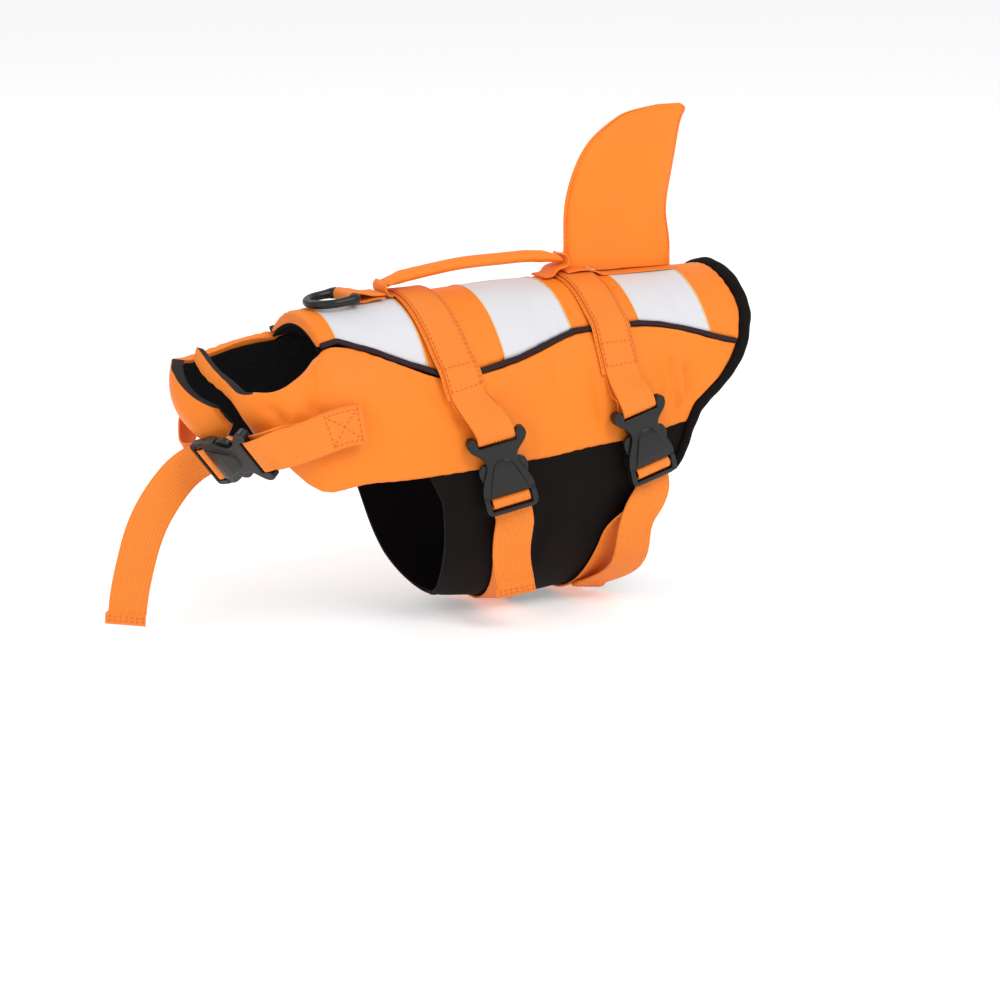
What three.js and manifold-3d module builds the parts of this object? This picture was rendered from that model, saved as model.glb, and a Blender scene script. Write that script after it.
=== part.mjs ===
// A dog life jacket: padded saddle and side panels, a neoprene belly panel, webbing belly straps,
// side-release buckles, a grab handle, a leash ring and a padded fin.
// Millimetres, +Z up, head towards -X, the buckles on the left side at -Y.
// The origin is the middle of the torso hollow, just behind the front belly strap.
import * as THREE from 'three';
import Module from 'manifold-3d';
import { mergeVertices } from 'three/addons/utils/BufferGeometryUtils.js';

// Driving dimensions
const PANEL = 8;           // foam-filled panel, at its thickest
const PANEL_EDGE = 3.2;    // the same panel at a seam
const NEOPRENE = 3;        // belly panel wall
const LINING = 1.1;        // black inner cloth
const SEAM = 0.3;          // air between pieces that are sewn together
const WEB = 25;            // webbing width
const WEB_T = 1.6;         // webbing thickness
const PIPING_R = 1.5;
const PIPING_ROOM = 2.1;   // degrees of the section kept free on each side of the piping
const HEM_R = 5.1;         // padded binding round the rear opening
const BUCKLE_W = 35;       // outside width of a buckle for this webbing
const NECK_X = -95;        // neck opening at the spine
const REAR_X = 221.8;      // cloth edge at the spine, inside the rear binding

const ORANGE = 0xfe9939;
const WEBBING = 0xf6913f;
const WHITE = 0xe6e6eb;
const BLACK = 0x131010;
const PLASTIC = 0x3e3e3c;
const TRIM = 0x3c2830;

// Sections of the torso across the back: each is two half ellipses that meet at the widest point
const TORSO = [
  { x: -160, top: 92.0, half: 50, wide: 14, bottom: -92 },
  { x: -100, top: 97.0, half: 60, wide: 10, bottom: -98 },
  { x: -50, top: 100.0, half: 67, wide: 7, bottom: -101 },
  { x: 0, top: 102.5, half: 71, wide: 5, bottom: -104 },
  { x: 60, top: 104.3, half: 72, wide: 5, bottom: -112 },
  { x: 120, top: 103.2, half: 70, wide: 10, bottom: -108 },
  { x: 180, top: 103.2, half: 66, wide: 20, bottom: -90 },
  { x: 240, top: 103.0, half: 61, wide: 32, bottom: -55 },
];
// The piped seam between the saddle and a side panel, as degrees from the spine
const PIPING = [
  { x: -96, turn: 36.5 }, { x: -83, turn: 34.5 }, { x: -57, turn: 44.3 }, { x: -39, turn: 51.0 },
  { x: -17, turn: 57.0 }, { x: 8, turn: 57.3 }, { x: 40, turn: 53.6 }, { x: 65, turn: 48.8 },
  { x: 86, turn: 44.8 }, { x: 110, turn: 44.6 }, { x: 138, turn: 45.6 }, { x: 155, turn: 48.2 },
  { x: 176, turn: 53.7 }, { x: 195, turn: 60.0 }, { x: 216, turn: 66.5 },
];
// Lower edge of a side panel, as degrees from the spine
const SIDE_LOW = [
  { x: -101, turn: 101.6 }, { x: -74, turn: 98.2 }, { x: -33, turn: 97.0 }, { x: 3, turn: 95.3 },
  { x: 41, turn: 94.0 }, { x: 86, turn: 93.5 }, { x: 118, turn: 93.8 }, { x: 145, turn: 94.6 },
  { x: 222, turn: 94.6 },
];
// Rear edge of the cloth: how far back it reaches at each turn from the spine
const REAR = [
  { turn: 0, x: 221.8 }, { turn: 35, x: 221.8 }, { turn: 50, x: 219.5 }, { turn: 65, x: 212.5 },
  { turn: 73, x: 204.5 }, { turn: 80, x: 194 }, { turn: 88, x: 173 }, { turn: 95, x: 165.5 },
  { turn: 103, x: 160.5 }, { turn: 110, x: 151 }, { turn: 121, x: 138 }, { turn: 145, x: 121 },
  { turn: 165, x: 113 }, { turn: 180, x: 110 },
];
const BELLY_FRONT = [
  { turn: 96, x: -33 }, { turn: 107, x: -21.5 }, { turn: 121, x: -16.5 }, { turn: 145, x: -10 },
  { turn: 165, x: -3 }, { turn: 180, x: 1 },
];
// The colour bands that the saddle is pieced from, front to rear
const BANDS = [
  { name: 'saddle_neck_band', from: NECK_X, to: -82.5, color: ORANGE, steps: 2 },
  { name: 'saddle_white_1', from: -82.5, to: -27, color: WHITE, steps: 4 },
  { name: 'saddle_orange_2', from: -27, to: 29, color: ORANGE, steps: 4 },
  { name: 'saddle_white_2', from: 29, to: 84.5, color: WHITE, steps: 4 },
  { name: 'saddle_orange_3', from: 84.5, to: 138.5, color: ORANGE, steps: 4 },
  { name: 'saddle_white_3', from: 138.5, to: 192, color: WHITE, steps: 4 },
  { name: 'saddle_tail_band', from: 192, to: REAR_X, color: ORANGE, steps: 3 },
];
// Chest flap of the left side panel: outer face from the neck opening (top) to its free edge (low)
const LEFT_FLAP = [
  { tx: -101, ty: -43, tz: 71.5, lx: -109, ly: -55, lz: -8, bulge: 9 },
  { tx: -110, ty: -48, tz: 66.5, lx: -117, ly: -49, lz: -1, bulge: 9 },
  { tx: -121, ty: -50.5, tz: 62.5, lx: -124, ly: -43, lz: 7, bulge: 9 },
  { tx: -134, ty: -49.5, tz: 57.5, lx: -131, ly: -36, lz: 15, bulge: 8 },
  { tx: -146, ty: -46, tz: 57, lx: -137, ly: -31.5, lz: 24, bulge: 6 },
  { tx: -152.5, ty: -40, tz: 57.5, lx: -143, ly: -29, lz: 34, bulge: 5 },
  { tx: -155, ty: -28, tz: 64, lx: -150, ly: -25, lz: 46, bulge: 4 },
  { tx: -157, ty: -14, tz: 71, lx: -157, ly: -15, lz: 55, bulge: 3.5 },
  { tx: -158, ty: 0, tz: 78, lx: -161.5, ly: -3, lz: 62, bulge: 3 },
  { tx: -157.5, ty: 11, tz: 82, lx: -162.5, ly: 8, lz: 70, bulge: 2 },
];
// Chest flap of the right side panel, which lies outside and reaches round the front
const RIGHT_FLAP = [
  { tx: -107, ty: 42, tz: 77.5, lx: -112, ly: 53, lz: -5, bulge: 10 },
  { tx: -120, ty: 46.5, tz: 74, lx: -123, ly: 45, lz: 4, bulge: 10 },
  { tx: -135, ty: 47, tz: 70, lx: -134, ly: 35, lz: 9, bulge: 11 },
  { tx: -150, ty: 43, tz: 68, lx: -145, ly: 23, lz: 12, bulge: 12 },
  { tx: -162, ty: 34, tz: 68.5, lx: -152, ly: 10, lz: 13, bulge: 12 },
  { tx: -170, ty: 24, tz: 69.5, lx: -156, ly: -2, lz: 14, bulge: 11 },
  { tx: -173, ty: 11, tz: 62.5, lx: -157, ly: -12, lz: 16, bulge: 8 },
  { tx: -168, ty: -6, tz: 51, lx: -153, ly: -19, lz: 24, bulge: 4 },
  { tx: -160, ty: -17, tz: 46, lx: -151, ly: -23, lz: 31, bulge: 2 },
];
// Belly straps: the middle of the webbing at each turn from the spine, the buckle's webbing bar and
// the end of its ladder lock, the way its face looks, and the loose end below it
const STRAPS = [
  {
    name: 'strap_1',
    buckle: 'buckle_1',
    path: [{ turn: 0, x: -11 }, { turn: 50, x: -9 }, { turn: 70, x: -3 }, { turn: 96, x: 13 },
      { turn: 140, x: 38 }, { turn: 180, x: 48 }],
    bar: [8, -80, 19],
    lock: [23, -80, -35],
    face: [-0.36, -0.92, 0.1],
    tail: [[23, -77, -51], [22.5, -77, -67], [25.5, -77, -83], [27, -77, -90]],
    across: [-0.91, 0.41, 0],
  },
  {
    name: 'strap_2',
    buckle: 'buckle_2',
    path: [{ turn: 0, x: 113.5 }, { turn: 50, x: 113 }, { turn: 70, x: 114 }, { turn: 96, x: 120 },
      { turn: 140, x: 115 }, { turn: 180, x: 112 }],
    bar: [118, -78, 26],
    lock: [134, -77, -27],
    face: [-0.08, -0.99, 0.05],
    tail: [[126, -73, -46], [121.5, -71.5, -60], [122, -67, -75], [122.5, -56, -89], [118, -41, -99],
      [112.5, -24, -107]],
    across: [-0.98, 0.18, 0],
  },
];
// Neck strap: two layers sewn to the left panel, the buckle, and webbing from the right panel
const NECK = {
  bar: [-147.9, -53.2, 20],
  lock: [-161, -8.9, 7.5],
  face: [-0.75, -0.37, -0.54],
  tab: [[-80, -64.2, 34], [-94, -64.6, 33.2], [-108, -64.5, 30.2], [-122, -62.5, 26.2]],
  web: [[-80, 63.6, 34], [-95, 63.8, 34], [-110, 63.2, 32], [-127, 60.8, 29], [-143, 54.5, 23.5],
    [-155.5, 43, 17], [-163, 28, 11.5], [-165.5, 12, 7.5]],
  tail: [[-170, 7.5, 0.5], [-179.5, 9, -8.5], [-188.5, 10, -20], [-198, 11, -37], [-204.5, 11.5, -56],
    [-209.5, 11.5, -75], [-212, 11.5, -91], [-212.5, 11.5, -98]],
  across: [-0.8, 0.6, 0.1],
};
const HEM_FOLD = 7;        // length of the stitched turn at the end of a loose strap
// Handle: middle of the grip along the spine, and the folded webbing that sews it down
const GRIP = [[-29.5, 109.8], [-17, 112.8], [5, 116], [30, 118.3], [65, 119], [92, 117.8], [104, 115.6]];
const GRIP_HIGH = 4.4;
const GRIP_BROAD = 6.5;
const ANCHOR_FRONT = [[-30.6, 111.8], [-32.3, 109.8], [-32.4, 107], [-31, 104.3], [-29, 102.9], [-26.8, 102.6]];
const ANCHOR_REAR = [[105.4, 119.4], [107.2, 116], [106.8, 112.4], [102.6, 110.8], [98, 108.7], [95.5, 106],
  [92.5, 105.4], [88.5, 105.5]];
const ANCHOR_W = 17;
// Fin: front and rear edge at each height, and how thick the padding is there
const FIN = [
  { z: 121, front: 108.4, rear: 194, thick: 9 }, { z: 141, front: 108.4, rear: 191, thick: 9.5 },
  { z: 160, front: 111, rear: 193, thick: 9.5 }, { z: 175, front: 116.5, rear: 196, thick: 9 },
  { z: 188, front: 124, rear: 198.5, thick: 8 }, { z: 200, front: 136.5, rear: 200.8, thick: 7 },
  { z: 208, front: 149.5, rear: 204, thick: 6 }, { z: 212.8, front: 165, rear: 204.8, thick: 4.6 },
  { z: 215, front: 182, rear: 201, thick: 3 },
];
const FIN_FOOT = [{ x: 108.4, z: 111.2 }, { x: 127, z: 111.2 }, { x: 136, z: 106.6 }, { x: 192.5, z: 105.5 }];
const FIN_FOOT_THICK = 7;
// Leash ring: a D lying forward from its straight bar, which the webbing loop holds
const RING_BAR_X = -57;
const RING_BAR_Z = 104.3;
const RING_R = 2.6;
const RING_HALF = 15.4;
const RING_REACH = 27;
const RING_LIE = 6.2;      // degrees that the ring dips forward to lie on the back
const RING_ROOM = 0.35;
const LOOP_W = 22;
const LOOP_T = 1.4;
// Side-release buckle, sizes down from its webbing bar: half outline of the socket, its slot,
// and the ladder lock with its two slots
const SOCKET = [[12.8, -1.6], [13.6, -5.2], [15.8, -6.2], [18.2, -4.2], [18.4, -0.5], [15, 5.5], [12.4, 9.5],
  [12.4, 15], [13.2, 26.5], [16.6, 27.5], [17.5, 35.6]];
const SOCKET_SLOT = { from: 1, to: 5, half: 13 };
const SOCKET_SIDE = [[-7, 2], [1.2, 2], [1.4, 3.2], [7, 3.4], [14, 4.6], [35.6, 4.8], [35.6, -4.4], [14, -4.2],
  [7, -3.2], [1.4, -3], [1.2, -2], [-7, -2]];
const PRONG = { inner: 13.3, outer: 15.8, button: 17, thick: 3, from: 17.5, to: 26 };
const MIDDLE_BAR = 2.2;
const LOCK = { from: 35.9, to: 53, half: 17.3, upper: [39.5, 43], lower: [45.6, 49.2], slotHalf: 13 };

// Read a table at x, straight between its rows
function read(table, key, at, column) {
  const last = table.length - 1;
  let i = 0;
  while (i < last - 1 && table[i + 1][key] < at) i += 1;
  const low = table[i];
  const high = table[i + 1];
  const share = THREE.MathUtils.clamp((at - low[key]) / (high[key] - low[key]), 0, 1);
  return low[column] + (high[column] - low[column]) * share;
}

// The same, rounded off between the rows
function smooth(table, key, at, column) {
  const reach = 6;
  return (read(table, key, at - reach, column) + 2 * read(table, key, at, column)
    + read(table, key, at + reach, column)) / 4;
}

// Outer face of the garment at station x and a turn in degrees from the spine, positive to the left
function onTorso(x, turn, lift = 0) {
  const angle = THREE.MathUtils.degToRad(turn);
  const half = smooth(TORSO, 'x', x, 'half');
  const wide = smooth(TORSO, 'x', x, 'wide');
  const above = smooth(TORSO, 'x', x, 'top') - wide;
  const below = wide - smooth(TORSO, 'x', x, 'bottom');
  const height = Math.cos(angle) > 0 ? above : below;
  const point = new THREE.Vector3(x, -half * Math.sin(angle), wide + height * Math.cos(angle));
  const outward = new THREE.Vector3(0, -Math.sin(angle) / half, Math.cos(angle) / height).normalize();
  return point.addScaledVector(outward, lift);
}

function outwardAt(x, turn) {
  return onTorso(x, turn, 1).sub(onTorso(x, turn, 0));
}

// A closed body through rings of points; a ring runs out along one face and back along the other
function loft(rings, closed = false) {
  const count = rings[0].length;
  const position = rings.flatMap((ring) => ring.flatMap((p) => [p.x, p.y, p.z]));
  const index = [];
  const quad = (a, b, c, d) => index.push(a, b, c, a, c, d);
  const spans = closed ? rings.length : rings.length - 1;
  for (let i = 0; i < spans; i += 1) {
    const here = i * count;
    const next = ((i + 1) % rings.length) * count;
    for (let k = 0; k < count; k += 1) {
      const k2 = (k + 1) % count;
      if (k < count / 2) quad(here + k, here + k2, next + k2, next + k);
      else quad(here + k2, next + k2, next + k, here + k);
    }
  }
  if (!closed) {
    const end = (rings.length - 1) * count;
    for (let k = 0; k < count / 2 - 1; k += 1) {
      quad(count - 1 - k, count - 2 - k, k + 1, k);
      quad(end + k, end + k + 1, end + count - 2 - k, end + count - 1 - k);
    }
  }
  if (signedVolume(position, index) < 0) {
    for (let i = 0; i < index.length; i += 3) [index[i], index[i + 1]] = [index[i + 1], index[i]];
  }
  const geometry = new THREE.BufferGeometry();
  geometry.setAttribute('position', new THREE.Float32BufferAttribute(position, 3));
  geometry.setIndex(index);
  geometry.computeVertexNormals();
  return geometry;
}

function signedVolume(position, index) {
  const at = (i) => new THREE.Vector3().fromArray(position, index[i] * 3);
  let sum = 0;
  for (let i = 0; i < index.length; i += 3) sum += at(i).dot(at(i + 1).cross(at(i + 2)));
  return sum;
}

// Unit normals of a grid of points, turned to face away from the middle of the torso
function gridNormals(rows, hollow) {
  return rows.map((row, i) => row.map((point, j) => {
    const along = rows[Math.min(i + 1, rows.length - 1)][j].clone().sub(rows[Math.max(i - 1, 0)][j]);
    const across = row[Math.min(j + 1, row.length - 1)].clone().sub(row[Math.max(j - 1, 0)]);
    const normal = along.cross(across).normalize();
    return normal.dot(point.clone().sub(hollow(point))) < 0 ? normal.negate() : normal;
  }));
}

// A wall of cloth between two depths under a grid of outer points
function wall(rows, normals, outerDepth, innerDepth) {
  const rings = rows.map((row, i) => {
    const outer = row.map((p, j) => p.clone().addScaledVector(normals[i][j], -outerDepth(i, j)));
    const inner = row.map((p, j) => p.clone().addScaledVector(normals[i][j], -innerDepth(i, j)));
    return [...outer, ...inner.reverse()];
  });
  return loft(rings);
}

const jacket = new THREE.Group();

function add(name, geometry, color, roughness = 0.85) {
  const material = new THREE.MeshStandardMaterial({ color, roughness, metalness: 0 });
  const mesh = new THREE.Mesh(geometry, material);
  mesh.name = name;
  jacket.add(mesh);
}

// How deep the padding is at a share of the way across a panel
function padding(share) {
  return PANEL_EDGE + (PANEL - PANEL_EDGE) * Math.sqrt(Math.sin(Math.PI * share));
}

const spineLine = (point) => new THREE.Vector3(point.x, 0, 10);
const chestMiddle = (point) => new THREE.Vector3(Math.max(point.x, -110), 0, 40);

// Saddle: seven bands of cloth across the back, with the black lining under them
const SADDLE_STEPS = 14;

function saddleGrid(from, to, steps) {
  return Array.from({ length: steps + 1 }, (_, i) => {
    const x = from + ((to - from) * i) / steps;
    const edge = read(PIPING, 'x', x, 'turn') - PIPING_ROOM;
    return Array.from({ length: SADDLE_STEPS + 1 }, (_unused, j) => {
      const turn = edge * (1 - (2 * j) / SADDLE_STEPS);
      const back = Math.min(x, read(REAR, 'turn', Math.abs(turn), 'x'));
      return onTorso(back, turn);
    });
  });
}

for (const band of BANDS) {
  const front = band.from === NECK_X ? band.from : band.from + SEAM / 2;
  const back = band.to === REAR_X ? band.to : band.to - SEAM / 2;
  const grid = saddleGrid(front, back, band.steps);
  const normals = gridNormals(grid, spineLine);
  add(band.name, wall(grid, normals, () => 0, (i, j) => padding(j / SADDLE_STEPS)), band.color);
}

const saddleLining = saddleGrid(NECK_X, REAR_X, 14);
add('lining_saddle', wall(saddleLining, gridNormals(saddleLining, spineLine),
  (i, j) => padding(j / SADDLE_STEPS) + 2 * SEAM, (i, j) => padding(j / SADDLE_STEPS) + 2 * SEAM + LINING), BLACK);

// Side panels, each with the chest flap that closes the front of the neck
const SIDE_STEPS = 8;
const SIDE_STATIONS = [222, 214, 203, 190, 176, 160, 140, 118, 86, 55, 30, 3, -18, -38, -58, -76, -90];

function sideGrid(side, flap) {
  const controls = SIDE_STATIONS.map((x) => {
    const slant = THREE.MathUtils.smoothstep(x, 120, 222);
    const backAt = (turn) => x + (read(REAR, 'turn', turn, 'x') - 222) * slant;
    const seamAt = (back) => read(PIPING, 'x', back, 'turn') + PIPING_ROOM;
    const high = seamAt(backAt(seamAt(backAt(seamAt(x)))));
    const low = read(SIDE_LOW, 'x', x, 'turn');
    return Array.from({ length: SIDE_STEPS + 1 }, (_, j) => {
      const turn = high + ((low - high) * j) / SIDE_STEPS;
      return onTorso(backAt(turn), side * turn);
    });
  });
  const centre = new THREE.Vector3(-95, 0, 52);
  for (const row of flap) {
    const top = new THREE.Vector3(row.tx, row.ty, row.tz);
    const low = new THREE.Vector3(row.lx, row.ly, row.lz);
    const out = top.clone().add(low).multiplyScalar(0.5).sub(centre).normalize();
    controls.push(Array.from({ length: SIDE_STEPS + 1 }, (_, j) => {
      const share = j / SIDE_STEPS;
      return top.clone().lerp(low, share).addScaledVector(out, row.bulge * 4 * share * (1 - share));
    }));
  }
  return controls;
}

const sides = [
  { name: 'side_left', lining: 'lining_left', grid: sideGrid(1, LEFT_FLAP) },
  { name: 'side_right', lining: 'lining_right', grid: sideGrid(-1, RIGHT_FLAP) },
];
for (const side of sides) {
  const normals = gridNormals(side.grid, chestMiddle);
  const last = side.grid.length - 1;
  const depth = (i, j) => {
    const thinner = 1 - 0.45 * THREE.MathUtils.smoothstep(i, SIDE_STATIONS.length, last - 2);
    return Math.min(padding(j / SIDE_STEPS) * thinner, PANEL_EDGE + 2 * Math.min(i, last - i));
  };
  add(side.name, wall(side.grid, normals, () => 0, depth), ORANGE);
  add(side.lining, wall(side.grid, normals, (i, j) => depth(i, j) + SEAM,
    (i, j) => depth(i, j) + SEAM + LINING), BLACK);
}

// A solid along a path; each station has its point, the way its face looks and a section
// given as pairs of sizes: along the face's normal and across the piece
function sweep(stations, closed = false) {
  const last = stations.length - 1;
  const rings = stations.map((station, i) => {
    const ahead = stations[closed ? (i + 1) % stations.length : Math.min(i + 1, last)].point;
    const behind = stations[closed ? (i + last) % stations.length : Math.max(i - 1, 0)].point;
    const along = ahead.clone().sub(behind).normalize();
    const across = new THREE.Vector3().crossVectors(along, station.face).normalize();
    const normal = new THREE.Vector3().crossVectors(across, along).normalize();
    return station.section.map(([out, side]) => station.point.clone()
      .addScaledVector(normal, out).addScaledVector(across, side));
  });
  return loft(rings, closed);
}

// Section of a round or oval bar
function oval(high, broad, count = 8) {
  return Array.from({ length: count }, (_, k) => {
    const angle = (2 * Math.PI * (k + 0.5)) / count;
    return [high * Math.cos(angle), broad * Math.sin(angle)];
  });
}

// Section of flat webbing
function flat(thick, width) {
  return [[thick / 2, -width / 2], [thick / 2, width / 2], [-thick / 2, width / 2], [-thick / 2, -width / 2]];
}

// Piping in the two long seams
const PIPING_END = 210.5;
const PIPING_STEPS = 26;
for (const [name, side] of [['piping_left', 1], ['piping_right', -1]]) {
  const stations = Array.from({ length: PIPING_STEPS + 1 }, (_, i) => {
    const x = NECK_X + ((PIPING_END - NECK_X) * i) / PIPING_STEPS;
    const turn = side * read(PIPING, 'x', x, 'turn');
    return { point: onTorso(x, turn, 0.2), face: outwardAt(x, turn), section: oval(PIPING_R, PIPING_R, 6) };
  });
  add(name, sweep(stations), TRIM);
}

// Padded binding round the rear opening, down to the corners of the belly panel
const HEM_END = 109;
const HEM_STEPS = 36;
const hemEdge = (turn) => onTorso(read(REAR, 'turn', Math.abs(turn), 'x'), turn, -1.7);
const hemStations = Array.from({ length: HEM_STEPS + 1 }, (_, i) => {
  const turn = HEM_END * ((2 * i) / HEM_STEPS - 1);
  const edge = hemEdge(turn);
  const face = outwardAt(edge.x, turn);
  const along = hemEdge(turn + 3).sub(hemEdge(turn - 3));
  const back = new THREE.Vector3().crossVectors(face, along).normalize();
  if (back.x < 0) back.negate();
  const radius = HEM_R - 1.1 * THREE.MathUtils.smoothstep(Math.abs(turn), 50, 85);
  return { point: edge.addScaledVector(back, radius + 0.45), face, section: oval(radius, radius) };
});
add('hem_binding', sweep(hemStations), BLACK);

// Belly panel: one neoprene wall from the left panel's lower edge round to the right one's
const BELLY_STEPS = 16;
const BELLY_ALONG = 7;
const bellyGrid = Array.from({ length: BELLY_ALONG + 1 }, (_, i) =>
  Array.from({ length: BELLY_STEPS + 1 }, (_unused, j) => {
    const share = Math.abs(1 - (2 * j) / BELLY_STEPS);
    const side = j < BELLY_STEPS / 2 ? 1 : -1;
    const along = i / BELLY_ALONG;
    const guess = 180 - share * 84;
    const x = THREE.MathUtils.lerp(read(BELLY_FRONT, 'turn', guess, 'x'), read(REAR, 'turn', guess, 'x'), along);
    const edge = read(SIDE_LOW, 'x', x, 'turn') + 0.7;
    const turn = 180 - share * (180 - edge);
    return onTorso(x, side * turn);
  }));
const bellyNormals = gridNormals(bellyGrid, spineLine);
const BELLY_INSIDE = 0.4;
add('belly_panel', wall(bellyGrid, bellyNormals, () => BELLY_INSIDE, () => BELLY_INSIDE + NEOPRENE), BLACK);

const vector = (numbers) => new THREE.Vector3(...numbers);
const alongGarment = () => new THREE.Vector3(1, 0, 0);

// Stations of a strip of webbing through points, its width lying along a direction
function strip(points, acrossAt, section) {
  return points.map((point, i) => {
    const ahead = points[Math.min(i + 1, points.length - 1)];
    const behind = points[Math.max(i - 1, 0)];
    const along = ahead.clone().sub(behind);
    return { point, face: new THREE.Vector3().crossVectors(acrossAt(i), along).normalize(), section };
  });
}

// A strip whose end is turned over and stitched down on the side that it faces
function hemmed(stations) {
  const end = stations[stations.length - 1];
  const before = stations[stations.length - 2];
  const back = before.point.clone().sub(end.point).normalize();
  const fold = flat(WEB_T, WEB + 1).map(([out, side]) => [out > 0 ? out + WEB_T : out, side + 0.8]);
  const at = (distance) => end.point.clone().addScaledVector(back, distance);
  return [
    ...stations.slice(0, -1),
    { ...end, point: at(HEM_FOLD + 0.4) },
    { ...end, point: at(HEM_FOLD), section: fold },
    { ...end, section: fold },
  ];
}

// Where a buckle lies: u runs from its webbing bar to its ladder lock, n out of its face
function buckleFrame(bar, lock, face) {
  const u = vector(lock).sub(vector(bar)).normalize();
  const w = new THREE.Vector3().crossVectors(u, vector(face)).normalize();
  const n = new THREE.Vector3().crossVectors(w, u).normalize();
  const at = (down, out) => vector(bar).addScaledVector(u, down).addScaledVector(n, out);
  return { u, w, n, at, matrix: new THREE.Matrix4().makeBasis(w, u, n).setPosition(vector(bar)) };
}

// Webbing round the buckle's bar and through its ladder lock: distance down the buckle, and out of it
const AROUND_BAR = [[-3, 3.3], [1.2, 3.2], [3.2, 1.5], [3.2, -1.5], [1.2, -3.2], [-3, -3.3], [-9, -3.3]];
const AROUND_LOCK = [[52, -6.1], [45.5, -5.4], [41.8, -3.9], [41.25, -1.5], [41.25, 1.4], [42.6, 3.1],
  [44.3, 3.5], [46, 3.1], [47.4, 1.4], [47.4, -1.5], [48.7, -3.4], [53, -4.0], [58, -4.0]];

// Where the belly webbing comes up behind the ladder lock, down the buckle and out of it
const UNDER_LOCK = [64, -7.4];

// Webbing over the back and down to a belly buckle: a lower layer, and the ribbed layer on it
const STRAP_STEPS = 15;
const BAND_W = 30;
const BAND_T = 1;
const BAND_LIFT = 3;
const WEB_LIFT = 4.7;
const BELLY_LIFT = 1.5;
const RIGHT_END = 93;
const BAND_END = 66;
const WEB_END = 66;
const UNDER_STEPS = 14;

function strapPoint(strap, turn, lift) {
  const across = Math.min(Math.abs(turn), 360 - Math.abs(turn));
  return onTorso(smooth(strap.path, 'turn', across, 'x'), turn, lift);
}

// Across the webbing: along the garment, over the swell of its surface
function surfaceAcross(strap, turn) {
  const here = strapPoint(strap, turn, 0);
  return onTorso(here.x - 12, turn).sub(onTorso(here.x + 12, turn)).normalize();
}

for (const strap of STRAPS) {
  const frame = buckleFrame(strap.bar, strap.lock, strap.face);
  const over = (leftEnd, lift) => Array.from({ length: STRAP_STEPS + 1 }, (_, i) =>
    strapPoint(strap, -RIGHT_END + ((leftEnd + RIGHT_END) * i) / STRAP_STEPS, lift));
  add(`${strap.name}_band`, sweep(strip(over(BAND_END, BAND_LIFT), alongGarment, flat(BAND_T, BAND_W))), WEBBING);
  const top = [...over(WEB_END, WEB_LIFT), ...AROUND_BAR.map(([down, out]) => frame.at(down, out))];
  const topAcross = (i) => (i <= STRAP_STEPS ? alongGarment() : frame.w.clone().negate());
  add(`${strap.name}_back`, sweep(strip(top, topAcross, flat(WEB_T, WEB))), WEBBING);

  const turns = Array.from({ length: UNDER_STEPS + 1 }, (_, i) => 264 - (136 * i) / UNDER_STEPS);
  const under = turns.map((turn) => strapPoint(strap, turn, BELLY_LIFT));
  const lock = AROUND_LOCK.map(([down, out]) => frame.at(down, out));
  const lower = [...under, frame.at(...UNDER_LOCK), ...lock, ...strap.tail.map(vector)];
  const lowerAcross = (i) => {
    if (i < under.length) return surfaceAcross(strap, turns[i]);
    const past = i - under.length - lock.length;
    return frame.w.clone().lerp(vector(strap.across), THREE.MathUtils.clamp(past / 3, 0, 1));
  };
  add(`${strap.name}_lower`, sweep(hemmed(strip(lower, lowerAcross, flat(WEB_T, WEB)))), WEBBING);
}

// Neck strap: a doubled tab on the left panel, and one webbing from the right panel to its loose end
const neckFrame = buckleFrame(NECK.bar, NECK.lock, NECK.face);
const tabUnder = NECK.tab.map(vector);
const tabOver = tabUnder.map((point, i) => point.clone().add(new THREE.Vector3(-0.3 * i, -2.1 - 0.1 * i, 0)));
const tabPath = [...tabOver, neckFrame.at(-9, 2), ...AROUND_BAR.slice(0, -1).map(([down, out]) =>
  neckFrame.at(down, out)), neckFrame.at(-9, -4), ...tabUnder.slice().reverse()];
const tabAcross = (i) => {
  const fromEnd = Math.min(i, tabPath.length - 1 - i);
  const onPanel = new THREE.Vector3(0.04, -0.3, -0.95);
  return onPanel.lerp(neckFrame.w.clone().negate(), THREE.MathUtils.clamp((fromEnd - 1) / 3, 0, 1));
};
add('neck_tab', sweep(strip(tabPath, tabAcross, flat(WEB_T, WEB))), WEBBING);

const neckLock = AROUND_LOCK.map(([down, out]) => neckFrame.at(down, out));
const neckPath = [...NECK.web.map(vector), ...neckLock, ...NECK.tail.map(vector)];
const neckAcross = (i) => {
  const before = THREE.MathUtils.clamp((i - 2) / (NECK.web.length - 2), 0, 1);
  const past = THREE.MathUtils.clamp((i - NECK.web.length - neckLock.length + 1) / 5, 0, 1);
  if (i < NECK.web.length) return new THREE.Vector3(0, 0, 1).lerp(neckFrame.w, before);
  return neckFrame.w.clone().lerp(vector(NECK.across), past);
};
add('neck_webbing', sweep(hemmed(strip(neckPath, neckAcross, flat(WEB_T, WEB)))), WEBBING);

// Buckles: outlines cut from plate, then trimmed to the side profile
const wasm = await Module();
wasm.setup();

function solid(geometry) {
  const bare = geometry.clone();
  bare.deleteAttribute('normal');
  bare.deleteAttribute('uv');
  const merged = mergeVertices(bare, 1e-4);
  return new wasm.Manifold(new wasm.Mesh({
    numProp: 3,
    vertProperties: merged.attributes.position.array,
    triVerts: new Uint32Array(merged.index.array),
  }));
}

function geometryOf(manifold) {
  const mesh = manifold.getMesh();
  const geometry = new THREE.BufferGeometry();
  geometry.setAttribute('position', new THREE.BufferAttribute(mesh.vertProperties, 3));
  geometry.setIndex(Array.from(mesh.triVerts));
  geometry.computeVertexNormals();
  return geometry;
}

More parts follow.
